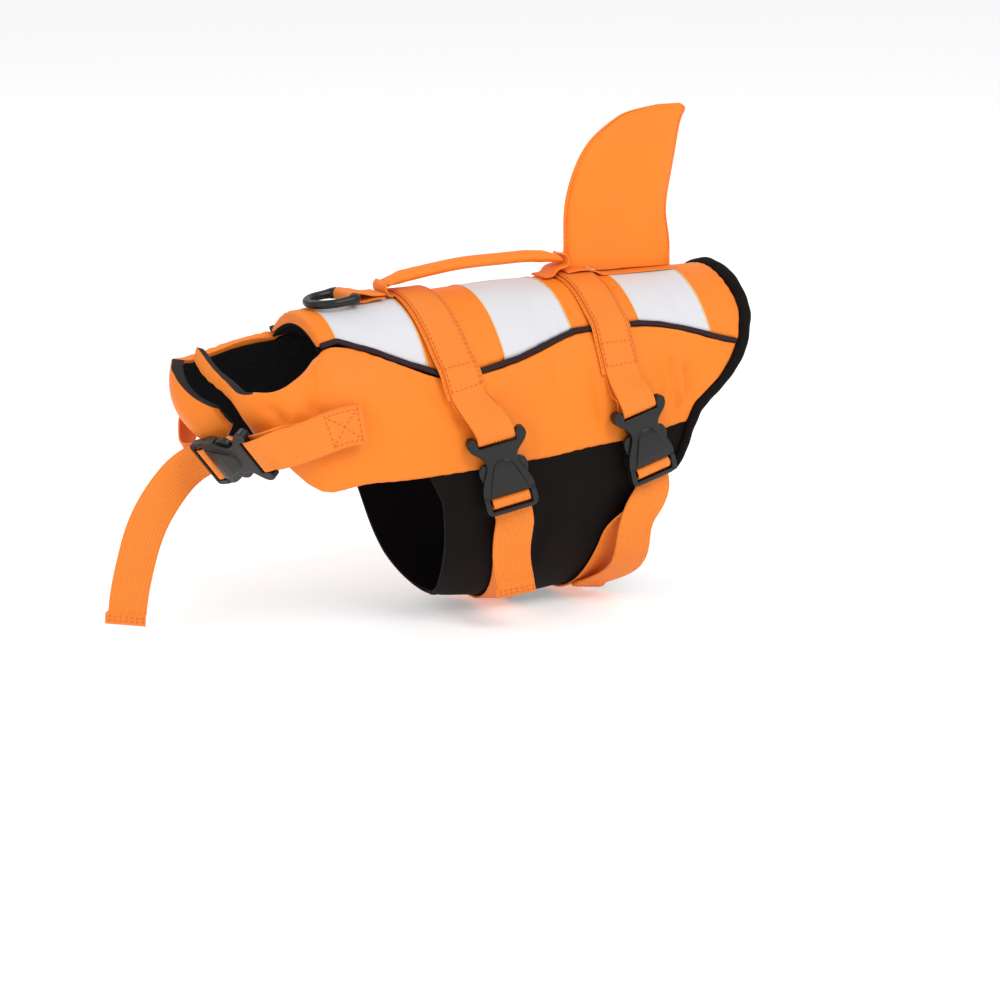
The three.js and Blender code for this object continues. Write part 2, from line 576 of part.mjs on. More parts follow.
// A plate cut to an outline given as [across, down] points, from one depth to another
function plate(outline, from, to) {
  const shape = new THREE.Shape(outline.map(([across, down]) => new THREE.Vector2(across, down)));
  const geometry = new THREE.ExtrudeGeometry(shape, { depth: to - from, bevelEnabled: false });
  return solid(geometry.translate(0, 0, from));
}

function slot(half, top, bottom, from, to) {
  return plate([[-half, top], [half, top], [half, bottom], [-half, bottom]], from, to);
}

// The same for a side profile given as [down, out] points, as wide as the buckle
function profile(outline) {
  const shape = new THREE.Shape(outline.map(([down, out]) => new THREE.Vector2(down, out)));
  const geometry = new THREE.ExtrudeGeometry(shape, { depth: 2 * BUCKLE_W, bevelEnabled: false });
  geometry.translate(0, 0, -BUCKLE_W);
  return solid(geometry.applyMatrix4(new THREE.Matrix4().makeBasis(
    new THREE.Vector3(0, 1, 0), new THREE.Vector3(0, 0, 1), new THREE.Vector3(1, 0, 0))));
}

function mirrored(half) {
  return [...half, ...half.slice().reverse().map(([across, down]) => [-across, down])];
}

const socket = plate(mirrored(SOCKET), -10, 10)
  .subtract(slot(SOCKET_SLOT.half, SOCKET_SLOT.from, SOCKET_SLOT.to, -10, 10))
  .subtract(slot(PRONG.outer + SEAM, PRONG.to, 40, -PRONG.thick / 2 - SEAM, PRONG.thick / 2 + SEAM))
  .intersect(profile(SOCKET_SIDE));
const prong = (side) => plate([
  [side * PRONG.inner, PRONG.from], [side * PRONG.button, PRONG.from + 3], [side * PRONG.button, PRONG.to - 1.5],
  [side * PRONG.outer, PRONG.to], [side * PRONG.outer, LOCK.from + 1], [side * PRONG.inner, LOCK.from + 1],
], -PRONG.thick / 2, PRONG.thick / 2);
const lockPlate = plate([[-LOCK.half, LOCK.from], [LOCK.half, LOCK.from], [LOCK.half, LOCK.to - 1.5],
  [LOCK.half - 1.5, LOCK.to], [1.5 - LOCK.half, LOCK.to], [-LOCK.half, LOCK.to - 1.5]], -10, 10)
  .subtract(slot(LOCK.slotHalf, ...LOCK.upper, -10, 10))
  .subtract(slot(LOCK.slotHalf, ...LOCK.lower, -10, 10))
  .subtract(slot(LOCK.slotHalf, LOCK.upper[0], LOCK.lower[1], MIDDLE_BAR, 10))
  .intersect(profile([[LOCK.from, 3.6], [LOCK.to, 2.6], [LOCK.to, -2.2], [LOCK.from, -3.2]]));
const ladderLock = lockPlate.add(prong(1)).add(prong(-1));

for (const [name, frame] of [['buckle_1', buckleFrame(STRAPS[0].bar, STRAPS[0].lock, STRAPS[0].face)],
  ['buckle_2', buckleFrame(STRAPS[1].bar, STRAPS[1].lock, STRAPS[1].face)], ['buckle_neck', neckFrame]]) {
  add(`${name}_socket`, geometryOf(socket).applyMatrix4(frame.matrix), PLASTIC, 0.5);
  add(`${name}_lock`, geometryOf(ladderLock).applyMatrix4(frame.matrix), PLASTIC, 0.5);
}

// Handle: a padded grip over the spine between two folded ends
const alongSpine = (rows) => rows.map(([x, z]) => new THREE.Vector3(x, 0, z));
const sideways = () => new THREE.Vector3(0, 1, 0);
const gripSection = oval(GRIP_HIGH, GRIP_BROAD, 10).map(([out, side]) => [Math.max(out, 0.8 - GRIP_HIGH), side]);
add('handle_grip', sweep(strip(alongSpine(GRIP).reverse(), sideways, gripSection)), ORANGE);
add('handle_front', sweep(strip(alongSpine(ANCHOR_FRONT), sideways, flat(WEB_T, ANCHOR_W))), WEBBING);
add('handle_rear', sweep(strip(alongSpine(ANCHOR_REAR), sideways, flat(WEB_T, ANCHOR_W))), WEBBING);

// Fin: a padded upright panel on a flat foot of cloth
const FIN_STEPS = 10;
const finRings = [{ z: 0, front: FIN_FOOT[0].x, rear: 192.5, thick: FIN_FOOT_THICK }, ...FIN].map((row) => {
  const edge = Math.min(1.5, row.thick / 3);
  const face = (side) => Array.from({ length: FIN_STEPS + 1 }, (_, k) => {
    const share = (1 - Math.cos((Math.PI * k) / FIN_STEPS)) / 2;
    const x = row.front + (row.rear - row.front) * share;
    const out = edge + (row.thick / 2 - edge) * Math.sqrt(Math.sin(Math.PI * share));
    return new THREE.Vector3(x, side * out, row.z || read(FIN_FOOT, 'x', x, 'z'));
  });
  return [...face(-1), ...face(1).reverse()];
});
add('fin', loft(finRings), ORANGE);
const FIN_BASE = [[108.4, 6.4], [127.5, 6.4], [137, 1], [150, 1], [165, 1], [179, 1], [191.5, 1]];
const BASE_W = 16;
const BASE_T = 1.2;
const basePoints = FIN_BASE.map(([x, lift]) => onTorso(x, 0, lift));
add('fin_base', sweep(strip(basePoints, sideways, flat(BASE_T, BASE_W))), ORANGE);

// Leash ring and the webbing loop that holds its bar
const lie = THREE.MathUtils.degToRad(RING_LIE);
const ringPoint = ([ahead, side]) => new THREE.Vector3(RING_BAR_X - ahead * Math.cos(lie), side,
  RING_BAR_Z - ahead * Math.sin(lie));
const RING_ARC = 10;
const arc = Array.from({ length: RING_ARC + 1 }, (_, k) => {
  const angle = (Math.PI * k) / RING_ARC;
  return [12 + (RING_REACH - 12) * Math.sin(angle), -RING_HALF * Math.cos(angle)];
});
const ringPath = [[0, 9], [0, 0], [0, -9], [0.8, -14.4], [4, -RING_HALF], ...arc, [4, RING_HALF], [0.8, 14.4]];
const ringFace = new THREE.Vector3(-Math.sin(lie), 0, Math.cos(lie));
const ringStations = ringPath.map((row) => ({
  point: ringPoint(row), face: ringFace, section: oval(RING_R, RING_R, 8),
}));
add('leash_ring', sweep(ringStations, true), PLASTIC, 0.5);

const loopRadius = RING_R + RING_ROOM + LOOP_T / 2;
const loopWrap = Array.from({ length: 7 }, (_, k) => {
  const angle = (Math.PI * (k + 0.5)) / 7;
  return [RING_BAR_X - loopRadius * Math.sin(angle), RING_BAR_Z - loopRadius * Math.cos(angle)];
});
const loopPath = alongSpine([[-34, 102.4], [-44, 101.8], [-51, 101.2], ...loopWrap, [-51, 107], [-44, 105],
  [-34, 104.6]]);
add('leash_ring_loop', sweep(strip(loopPath, sideways, flat(LOOP_T, LOOP_W))), WEBBING);

export default jacket;
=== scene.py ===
import math

import bpy
import numpy as np
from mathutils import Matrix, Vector


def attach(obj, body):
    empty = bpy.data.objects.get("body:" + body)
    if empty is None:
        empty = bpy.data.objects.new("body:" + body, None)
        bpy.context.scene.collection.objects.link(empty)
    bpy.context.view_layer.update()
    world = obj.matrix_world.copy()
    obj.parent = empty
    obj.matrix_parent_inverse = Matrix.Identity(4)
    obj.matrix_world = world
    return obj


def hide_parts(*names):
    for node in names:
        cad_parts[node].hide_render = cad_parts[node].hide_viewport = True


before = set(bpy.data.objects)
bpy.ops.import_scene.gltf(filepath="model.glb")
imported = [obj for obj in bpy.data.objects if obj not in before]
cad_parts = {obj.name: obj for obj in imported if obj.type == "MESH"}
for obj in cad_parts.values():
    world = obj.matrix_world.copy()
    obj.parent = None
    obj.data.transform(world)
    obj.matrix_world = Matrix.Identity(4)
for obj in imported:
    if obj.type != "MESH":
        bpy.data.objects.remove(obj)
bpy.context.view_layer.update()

# The studio: a white floor under an even bright sky with three soft lamps, seen from the place of
# the photograph, a little above the jacket and ahead of it. The room isn't part of the jacket.
CAMERA_AT = (-0.946635, -1.707776, 0.432879)
CAMERA_TURN = math.radians(-30.486)
CAMERA_DROP = math.radians(13.593)
lens = bpy.data.cameras.new("camera")
lens.lens = 108
lens.sensor_width = 36
lens.clip_start = 0.05
lens.clip_end = 60
camera = bpy.data.objects.new("camera", lens)
camera.location = CAMERA_AT
look = Vector((-math.sin(CAMERA_TURN) * math.cos(CAMERA_DROP),
               math.cos(CAMERA_TURN) * math.cos(CAMERA_DROP), -math.sin(CAMERA_DROP)))
camera.rotation_euler = look.to_track_quat("-Z", "Y").to_euler()
bpy.context.collection.objects.link(camera)
studio = bpy.context.scene
studio.camera = camera
studio.view_settings.view_transform = "Standard"

FLOOR_Z = -0.1150                         # just under the lowest strap
floor_mesh = bpy.data.meshes.new("floor")
floor_mesh.from_pydata([(-30, -30, FLOOR_Z), (30, -30, FLOOR_Z), (30, 30, FLOOR_Z), (-30, 30, FLOOR_Z)], [],
                       [(0, 1, 2, 3)])
floor = bpy.data.objects.new("floor", floor_mesh)
bpy.context.collection.objects.link(floor)
paint = bpy.data.materials.new("floor_white")
paint.use_nodes = True
for socket, value in [("Base Color", (0.93, 0.93, 0.93, 1)), ("Roughness", 0.9),
                      ("Emission Color", (1, 1, 1, 1)), ("Emission Strength", 0.29)]:
    paint.node_tree.nodes["Principled BSDF"].inputs[socket].default_value = value
floor_mesh.materials.append(paint)

sky = bpy.data.worlds.new("sky")
sky.use_nodes = True
sky.node_tree.nodes["Background"].inputs["Color"].default_value = (1, 1, 1, 1)
sky.node_tree.nodes["Background"].inputs["Strength"].default_value = 0.68
studio.world = sky
LAMPS = [("lamp_key", (0.5, -1.9, 2.2), 1.4, 34), ("lamp_fill", (-2.0, -1.2, 1.2), 1.2, 8),
         ("lamp_back", (-0.6, 1.8, 1.9), 1.4, 12)]                         # name, place, size, watts
LAMPS_AIM_AT = Vector((0.03, 0, 0))
for name, at, size, power in LAMPS:
    lamp = bpy.data.lights.new(name, "AREA")
    lamp.size = size
    lamp.energy = power
    stand = bpy.data.objects.new(name, lamp)
    stand.location = at
    stand.rotation_euler = (LAMPS_AIM_AT - Vector(at)).to_track_quat("-Z", "Y").to_euler()
    bpy.context.collection.objects.link(stand)

# The saddle over the back: seven bands of polyester cloth, orange and silver-white in turn, sewn edge
# to edge over thin closed-cell foam. Its two long edges roll into the piped seams, and its front edge
# is the neck opening. Sizes are in millimetres, x towards the tail, turns in degrees from the spine.
TORSO = np.array([(-160, 92.0, 50, 14, -92), (-100, 97.0, 60, 10, -98), (-50, 100.0, 67, 7, -101),
                  (0, 102.5, 71, 5, -104), (60, 104.3, 72, 5, -112), (120, 103.2, 70, 10, -108),
                  (180, 103.2, 66, 20, -90), (240, 103.0, 61, 32, -55)])   # x, top, half, wide, bottom
PIPED = np.array([(-96, 36.5), (-83, 34.5), (-57, 44.3), (-39, 51.0), (-17, 57.0), (8, 57.3), (40, 53.6),
                  (65, 48.8), (86, 44.8), (110, 44.6), (138, 45.6), (155, 48.2), (176, 53.7), (195, 60.0),
                  (216, 66.5)])                                            # x, turn of the piped seam
REAR = np.array([(0, 221.8), (35, 221.8), (50, 219.5), (65, 212.5), (73, 204.5), (80, 194), (88, 173),
                 (95, 165.5), (103, 160.5), (110, 151), (121, 138), (145, 121), (165, 113), (180, 110)])
NECK_X = -95
REAR_X = 221.8
ORANGE = (0.90, 0.222, 0.014)
WHITE = (0.70, 0.70, 0.735)
FOAM = 8.0
FOAM_AT_SEAM = 3.2
LINING = 1.1
ARCH = 78                                 # radius that turns degrees into lengths round the arch
PIPING_ROOM = 1.4                         # degrees that the piping takes on each side of its seam
PIPED_ROLL = 1.3                          # how far cloth rolls under at a piped seam
OPEN_ROLL = 2.6                           # at an open edge
BAND_ROLL = 0.35                          # at a seam between two bands


def unit(ways):
    return ways / np.linalg.norm(ways, axis=-1, keepdims=True)


def rounded(table, at):
    """A table's values at some places, its corners a little rounded."""
    at = np.asarray(at, float)
    return sum(w * np.interp(at + d, table[:, 0], table[:, 1]) for d, w in [(-6, 0.25), (0, 0.5), (6, 0.25)])


def on_torso(x, turn, lift=0.0):
    """Points of the worn shape, so far along it and round it, and lifted off it."""
    x, turn = np.broadcast_arrays(np.asarray(x, float), np.asarray(turn, float))
    top, half, wide, bottom = (rounded(TORSO[:, [0, k]], x) for k in (1, 2, 3, 4))
    angle = np.radians(turn)
    height = np.where(np.cos(angle) > 0, top - wide, wide - bottom)
    out = unit(np.stack([np.zeros_like(x), -np.sin(angle) / half, np.cos(angle) / height], -1))
    at = np.stack([x, -half * np.sin(angle), wide + height * np.cos(angle)], -1)
    return at + out * np.asarray(lift, float)[..., None]


def roll(distance, radius):
    """How far a padded edge has rolled down at a distance from it."""
    inside = np.clip(distance, 0, radius)
    return radius - np.sqrt(np.maximum(radius ** 2 - (radius - inside) ** 2, 0))


def swell(points, size, seed):
    """A slow uneven swell through space, between about -1 and 1."""
    rng = np.random.default_rng(seed)
    total = np.zeros(points.shape[:-1])
    for _ in range(9):
        way = rng.normal(size=3)
        way *= rng.uniform(0.6, 1.5) / (size * np.linalg.norm(way))
        total += np.sin(2 * np.pi * (points @ way) + rng.uniform(0, 2 * np.pi))
    return total / 3.2


def creases(points, rows, seen):
    """Soft troughs with a low ridge beside them, from one point to another as seen along an axis."""
    total = np.zeros(points.shape[:-1])
    points = points[..., seen]
    for x0, y0, z0, x1, y1, z1, width, depth in rows:
        start, end = np.array((x0, y0, z0))[seen], np.array((x1, y1, z1))[seen]
        along = end - start
        share = ((points - start) @ along) / (along @ along)
        near = start + np.clip(share, 0, 1)[..., None] * along
        away = np.linalg.norm(points - near, axis=-1) / width
        fade = np.clip(1.15 - 0.9 * np.abs(2 * np.clip(share, 0, 1) - 1) ** 2.5, 0, 1)
        total += depth * fade * ((1 - 0.75 * away ** 2) * np.exp(-away ** 2))
    return total


def looks_out(grid, middle):
    """Unit normals of a grid of points, facing away from a middle."""
    along, across = np.gradient(grid, axis=0), np.gradient(grid, axis=1)
    normal = np.cross(along, across)
    normal /= np.maximum(np.linalg.norm(normal, axis=-1, keepdims=True), 1e-9)
    wrong = np.sum(normal * (grid - middle), axis=-1, keepdims=True) < 0
    return np.where(wrong, -normal, normal)


def wall(outer, inner):
    """Points, faces, cloth coordinates and finishes of a closed wall between two grids."""
    rows, columns = outer.shape[:2]
    points = np.concatenate([outer.reshape(-1, 3), inner.reshape(-1, 3)])
    index = np.arange(rows * columns).reshape(rows, columns)
    a, b, c, d = index[:-1, :-1], index[1:, :-1], index[1:, 1:], index[:-1, 1:]
    front = np.stack([a, b, c, d], -1).reshape(-1, 4)
    back = front[:, ::-1] + rows * columns
    edge = np.concatenate([index[:, 0], index[-1, 1:], index[-2::-1, -1], index[0, -2::-1]])
    edge = edge[:-1] if edge[0] == edge[-1] else edge
    after = np.roll(edge, -1)
    sides = np.stack([after, edge, edge + rows * columns, after + rows * columns], -1)
    faces = np.concatenate([front, back, sides])
    step_u = np.linalg.norm(np.diff(outer, axis=0), axis=-1).mean(1)
    step_v = np.linalg.norm(np.diff(outer, axis=1), axis=-1).mean(0)
    u = np.concatenate([[0], np.cumsum(step_u)])[:, None] + np.zeros((rows, columns))
    v = np.concatenate([[0], np.cumsum(step_v)])[None, :] + np.zeros((rows, columns))
    flat = np.stack([u, v], -1).reshape(-1, 2)
    return points, faces, np.concatenate([flat, flat]), np.zeros(len(faces), int)


def piece(name, form, finishes, nodes=(), body="jacket", sharp=50):
    """A finished piece of the jacket, from millimetres, standing for the frame's nodes."""
    points, faces, flat, finish = form
    size = np.einsum("ij,ij->i", points[faces[:, 0]],
                     np.cross(points[faces[:, 1]], points[faces[:, 2]])
                     + np.cross(points[faces[:, 2]], points[faces[:, 3]])).sum()
    if size < 0:
        faces = faces[:, ::-1]
    mesh = bpy.data.meshes.new(name)
    mesh.from_pydata((points / 1000).tolist(), [], faces.tolist())
    layer = mesh.uv_layers.new(name="cloth")
    layer.data.foreach_set("uv", (flat[faces.reshape(-1)] / 1000).astype(np.float32).reshape(-1))
    for cloth in finishes:
        mesh.materials.append(cloth)
    mesh.polygons.foreach_set("material_index", finish.astype(np.int32))
    mesh.shade_smooth()
    mesh.set_sharp_from_angle(angle=math.radians(sharp))
    made = bpy.data.objects.new(name, mesh)
    bpy.context.collection.objects.link(made)
    if nodes:
        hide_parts(*nodes)
    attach(made, body)
    return made


class Amount:
    """A number inside a finish, so that sums on it read as sums."""

    def __init__(self, finish, socket):
        self.finish, self.socket = finish, socket

    def sum(self, operation, first, second):
        return self.finish.node("ShaderNodeMath", {"operation": operation}, {0: first, 1: second})

    def __add__(self, other):
        return self.sum("ADD", self, other)

    def __radd__(self, other):
        return self.sum("ADD", other, self)

    def __sub__(self, other):
        return self.sum("SUBTRACT", self, other)

    def __rsub__(self, other):
        return self.sum("SUBTRACT", other, self)

    def __mul__(self, other):
        return self.sum("MULTIPLY", self, other)

    def __rmul__(self, other):
        return self.sum("MULTIPLY", other, self)


class Finish:
    """The finish of one material, put together from nodes."""

    def __init__(self, name, color, roughness, sheen=0.0, shine=0.5):
        self.material = bpy.data.materials.new(name)
        self.material.use_nodes = True
        self.tree = self.material.node_tree
        self.shader = self.tree.nodes["Principled BSDF"]
        self.color = color
        self.shader.inputs["Base Color"].default_value = (*color, 1)
        self.shader.inputs["Roughness"].default_value = roughness
        self.shader.inputs["Sheen Weight"].default_value = sheen
        self.shader.inputs["Sheen Roughness"].default_value = 0.4
        self.shader.inputs["Specular IOR Level"].default_value = shine

    def node(self, kind, settings=(), inputs=(), output=0):
        made = self.tree.nodes.new(kind)
        for key, value in dict(settings).items():
            setattr(made, key, value)
        for key, value in dict(inputs).items():
            if isinstance(value, Amount):
                self.tree.links.new(value.socket, made.inputs[key])
            else:
                made.inputs[key].default_value = value
        return Amount(self, made.outputs[output])

    def drive(self, socket, value):
        self.tree.links.new(value.socket, self.shader.inputs[socket])

    def flat(self):
        """The cloth's own coordinates, in metres across and along it."""
        apart = self.tree.nodes.new("ShaderNodeSeparateXYZ")
        self.tree.links.new(self.tree.nodes.new("ShaderNodeTexCoord").outputs["UV"], apart.inputs[0])
        return Amount(self, apart.outputs[0]), Amount(self, apart.outputs[1])

    def noise(self, size, detail=2.0):
        at = self.node("ShaderNodeTexCoord", (), (), "Object")
        return self.node("ShaderNodeTexNoise", (), {"Vector": at, "Scale": 1 / size, "Detail": detail,
                                                    "Roughness": 0.55})

    def wave(self, along, pitch):
        return self.node("ShaderNodeMath", {"operation": "SINE"}, {0: along * (2 * math.pi / pitch)})

    def tint(self, amount, low, high):
        """Shades of the colour, from low to high times it, where an amount goes from 0 to 1."""
        made = self.tree.nodes.new("ShaderNodeMix")
        made.data_type = "RGBA"
        self.tree.links.new(amount.socket, made.inputs["Factor"])
        made.inputs[6].default_value = (*[c * low for c in self.color], 1)
        made.inputs[7].default_value = (*[min(c * high, 1) for c in self.color], 1)
        self.tree.links.new(made.outputs[2], self.shader.inputs["Base Color"])

    def relief(self, height, depth, strength):
        bump = self.tree.nodes.new("ShaderNodeBump")
        bump.inputs["Strength"].default_value = strength
        bump.inputs["Distance"].default_value = depth
        self.tree.links.new(height.socket, bump.inputs["Height"])
        self.tree.links.new(bump.outputs["Normal"], self.shader.inputs["Normal"])


def shell_cloth(name, color, roughness, thread, sheen):
    """Plain-woven polyester: threads over and under, slubs, and a slow change of shade."""
    cloth = Finish(name, color, roughness, sheen, 0.28)
    u, v = cloth.flat()
    weave = cloth.wave(u, 2 * thread) * cloth.wave(v, 2 * thread)
    slub = cloth.noise(0.0016)
    slow = cloth.noise(0.045)
    cloth.tint(slow * 0.75 + weave * 0.10 + slub * 0.25, 0.92, 1.05)
    cloth.drive("Roughness", roughness - 0.05 + 0.14 * slub)
    cloth.relief(weave * 0.35 + slub, 0.00016, 0.6)
    return cloth.material


orange_cloth = shell_cloth("orange_cloth", ORANGE, 0.5, 0.00042, 0.03)
white_cloth = shell_cloth("white_cloth", WHITE, 0.40, 0.00030, 0.05)

BANDS = [("saddle_neck_band", NECK_X, -82.5, orange_cloth), ("saddle_white_1", -82.5, -27, white_cloth),
         ("saddle_orange_2", -27, 29, orange_cloth), ("saddle_white_2", 29, 84.5, white_cloth),
         ("saddle_orange_3", 84.5, 138.5, orange_cloth), ("saddle_white_3", 138.5, 192, white_cloth),
         ("saddle_tail_band", 192, REAR_X, orange_cloth)]
SEAM_HALF = 0.12
SADDLE_CREASES = [
    (-60, -52, 70, -52, -40, 84, 5, -0.5), (60, -48, 78, 66, -30, 92, 7, -0.6),
    (88, -46, 82, 94, -30, 94, 6, -0.5), (150, -50, 80, 160, -30, 95, 7, -0.6),
    (176, -50, 78, 170, -22, 98, 6, -0.5), (205, -46, 80, 199, -28, 93, 5, -0.6),
    (40, -52, 72, 44, -34, 90, 6, -0.4), (-40, 52, 74, -34, 36, 88, 6, -0.5),
    (70, 48, 78, 62, 26, 93, 7, -0.6), (100, 46, 82, 92, 30, 94, 5, -0.5),
    (160, 50, 80, 150, 26, 95, 7, -0.6), (200, 48, 78, 207, 28, 93, 6, -0.6)]   # from, to, width, depth


def padding(share):
    """The depth of foam at a share of the way across a panel."""
    return FOAM_AT_SEAM + (FOAM - FOAM_AT_SEAM) * np.sqrt(np.sin(np.pi * np.clip(share, 0, 1)))


def pucker(along, distance, reach, amount, seed):
    """The little gathers of a sewn edge: uneven ripples that die away from the seam."""
    rng = np.random.default_rng(seed)
    phase = rng.uniform(0, 2 * np.pi, 3)
    ripple = (np.sin(along * 2 * np.pi / 9.3 + phase[0] + 1.5 * np.sin(along / 21 + phase[1]))
              * (0.6 + 0.4 * np.sin(along * 2 * np.pi / 47 + phase[2])))
    return amount * ripple * np.exp(-np.maximum(distance, 0) / reach)


def saddle_grid(front, back, step=1.7, columns=97, past=-PIPING_ROOM):
    """Places on the saddle from seam to seam, and how far each is from the seam."""
    rows = max(4, int(round((back - front) / step)) + 1)
    x = np.linspace(front, back, rows)[:, None]
    share = np.linspace(0, 1, columns)[None, :]
    edge = np.interp(x, PIPED[:, 0], PIPED[:, 1]) + past
    turn = edge * (1 - 2 * share)
    x = np.minimum(x + 0 * turn, np.interp(np.abs(turn), REAR[:, 0], REAR[:, 1]))
    to_seam = np.radians(edge - np.abs(turn)) * ARCH
    return x, turn, share + 0 * x, to_seam


for number, (name, front, back, cloth) in enumerate(BANDS):
    x, turn, share, to_seam = saddle_grid(front + SEAM_HALF, back - SEAM_HALF)
    lift = -roll(to_seam, PIPED_ROLL) - pucker(x, to_seam, 5, 0.35, 3)
    for start, end in [(front, 1), (back, -1)]:
        distance = (x - start) * end
        open_edge = start in (NECK_X, REAR_X)
        reach, gather = (4, 0.5) if open_edge else (3, 0.12)
        lift -= roll(distance, OPEN_ROLL if open_edge else BAND_ROLL)
        lift -= pucker(turn * 1.4, distance, reach, gather, 11 + number)
    place = on_torso(x, turn)
    lift += 0.35 * swell(place, 55, 5) + creases(place, SADDLE_CREASES, [0, 1])
    band = piece(name, wall(on_torso(x, turn, lift), on_torso(x, turn, -padding(share))), [cloth], [name])

# The black mesh lining lies inside the saddle, one sheet from the neck opening to the rear hem.
# It shows in the neck hole and from behind.
INSIDE = 0.35


def lining_cloth(name, color):
    """Knitted spacer mesh: small open holes in rows, matte and nearly black."""
    cloth = Finish(name, color, 0.95, 0.0, 0.15)
    u, v = cloth.flat()
    holes = cloth.wave(u, 0.0021) * cloth.wave(v, 0.0026)
    slow = cloth.noise(0.03)
    cloth.tint(holes * 0.4 + slow * 0.8, 0.6, 1.5)
    cloth.relief(holes, 0.0004, 0.6)
    return cloth.material


black_mesh = lining_cloth("black_mesh", (0.0050, 0.0045, 0.0045))
# A lighter copy of the black lining: painted light on the flaps' turned edges, where light falls on them.
charcoal_edge = lining_cloth("charcoal_edge", (0.030, 0.027, 0.027))
x, turn, share, _ = saddle_grid(NECK_X + 0.4, REAR_X - 0.4, step=4, columns=61, past=2.2)
depth = padding(share) + INSIDE
slack = 0.3 * swell(on_torso(x, turn), 38, 21) - 0.25
lining = piece("lining_saddle", wall(on_torso(x, turn, -depth), on_torso(x, turn, slack - depth - LINING)),
               [black_mesh], ["lining_saddle"])

# The side panels: orange cloth over foam from the piped seam down past the ribs, and on past the
# shoulder into the chest flap that closes the front of the neck. The right flap lies over the left.
# Their free edges show the black lining's turned edge; a lighter copy of the lining there is painted light,
# where light falls on the edge.
LOW = np.array([(-101, 101.6), (-74, 98.2), (-33, 97.0), (3, 95.3), (41, 94.0), (86, 93.5), (118, 93.8),
                (145, 94.6), (222, 94.6)])                                 # x, turn of the lower edge
STATIONS = [222, 214, 203, 190, 176, 160, 140, 118, 86, 55, 30, 3, -18, -38, -58, -76, -90]
SLANT_FROM = 120                          # from here back the stations lean with the rear edge
UNDER_BINDING = 1.8
LEFT_FLAP = [(-101, -43, 71.5, -109, -55, -8, 9), (-110, -48, 66.5, -117, -49, -1, 9),
             (-121, -50.5, 62.5, -124, -43, 7, 9), (-134, -49.5, 57.5, -131, -36, 15, 8),
             (-146, -46, 57, -137, -31.5, 24, 6), (-152.5, -40, 57.5, -143, -29, 34, 5),
             (-155, -28, 64, -150, -25, 46, 4), (-157, -14, 71, -157, -15, 55, 3.5),
             (-158, 0, 78, -161.5, -3, 62, 3), (-157.5, 11, 82, -162.5, 8, 70, 2)]
RIGHT_FLAP = [(-107, 42, 77.5, -112, 53, -5, 10), (-120, 46.5, 74, -123, 45, 4, 10),
              (-135, 47, 70, -134, 35, 9, 11), (-150, 43, 68, -145, 23, 12, 12),
              (-162, 34, 68.5, -152, 10, 13, 12), (-170, 24, 69.5, -156, -2, 14, 11),
              (-173, 11, 62.5, -157, -12, 16, 8), (-168, -6, 51, -153, -19, 24, 4),
              (-160, -17, 46, -151, -23, 31, 2)]       # top x y z, low x y z, bulge of the padding
CHEST = np.array((-95, 0, 52))
SIDE_CREASES = {
    "left": [(159, 0, 64, 150, 0, 9, 4.0, -1.5), (167, 0, 54, 168, 0, 18, 4.0, -1.9),
             (158, 0, 32, 156, 0, 6, 3.5, -1.5), (178, 0, 48, 174, 0, 24, 4, -1.2),
             (146, -68, 52, 143, -70, 10, 5, -1.2), (26, -62, 60, 14, -72, 28, 5, -0.8),
             (-30, -62, 52, -8, -72, 24, 7, -0.9), (66, -62, 60, 60, -72, 8, 9, -0.9),
             (92, -62, 56, 96, -72, 14, 6, -0.8), (-78, -58, 42, -62, -64, 8, 8, -0.9),
             (-112, -52, 50, -96, -58, 30, 6, -1.2), (-120, -50, 44, -116, -50, 18, 5, -0.9),
             (-140, -40, 50, -128, -44, 36, 5, -1.2), (34, -72, 26, 46, -72, 0, 7, -0.7)],
    "right": [(168, 65, 60, 160, 67, 16, 5, -2.0), (184, 62, 48, 174, 65, 10, 4, -1.6),
              (140, 68, 56, 150, 69, 14, 5, -1.2), (52, 66, 58, 44, 72, 14, 7, -0.9),
              (84, 64, 58, 90, 71, 10, 6, -1.0), (-20, 62, 60, -32, 70, 20, 7, -0.9),
              (-66, 58, 48, -80, 62, 10, 7, -1.1), (-116, 52, 52, -104, 58, 24, 6, -1.2),
              (-160, 30, 60, -150, 34, 30, 6, -1.4), (-134, 46, 58, -128, 50, 28, 5, -1.0)]}


def ease(share):
    """A smooth rise from 0 to 1."""
    share = np.clip(share, 0, 1)
    return share * share * (3 - 2 * share)


def travelled(points):
    """How far each of a row of points is along the row."""
    return np.concatenate([[0], np.cumsum(np.linalg.norm(np.diff(points, axis=0), axis=1))])


def cloth_area(grid):
    """The square metres of cloth in a grid of points."""
    each = np.cross(np.diff(grid, axis=0)[:, :-1], np.diff(grid, axis=1)[:-1])
    return float(np.linalg.norm(each, axis=-1).sum()) / 1e6


def natural_curve(knots, values, at):
    """A natural cubic curve through the values, each with any number of columns."""
    gap = np.diff(knots)
    count = len(knots)
    left = np.eye(count)
    right = np.zeros((count, values.shape[1]))
    for k in range(1, count - 1):
        left[k, k - 1:k + 2] = gap[k - 1], 2 * (gap[k - 1] + gap[k]), gap[k]
        right[k] = 6 * ((values[k + 1] - values[k]) / gap[k] - (values[k] - values[k - 1]) / gap[k - 1])
    bend = np.linalg.solve(left, right)
    k = np.clip(np.searchsorted(knots, at) - 1, 0, count - 2)
    h, a, b = gap[k][:, None], (knots[k + 1] - at)[:, None], (at - knots[k])[:, None]
    return (bend[k] * a ** 3 + bend[k + 1] * b ** 3) / (6 * h) + (values[k] / h - bend[k] * h / 6) * a \
        + (values[k + 1] / h - bend[k + 1] * h / 6) * b


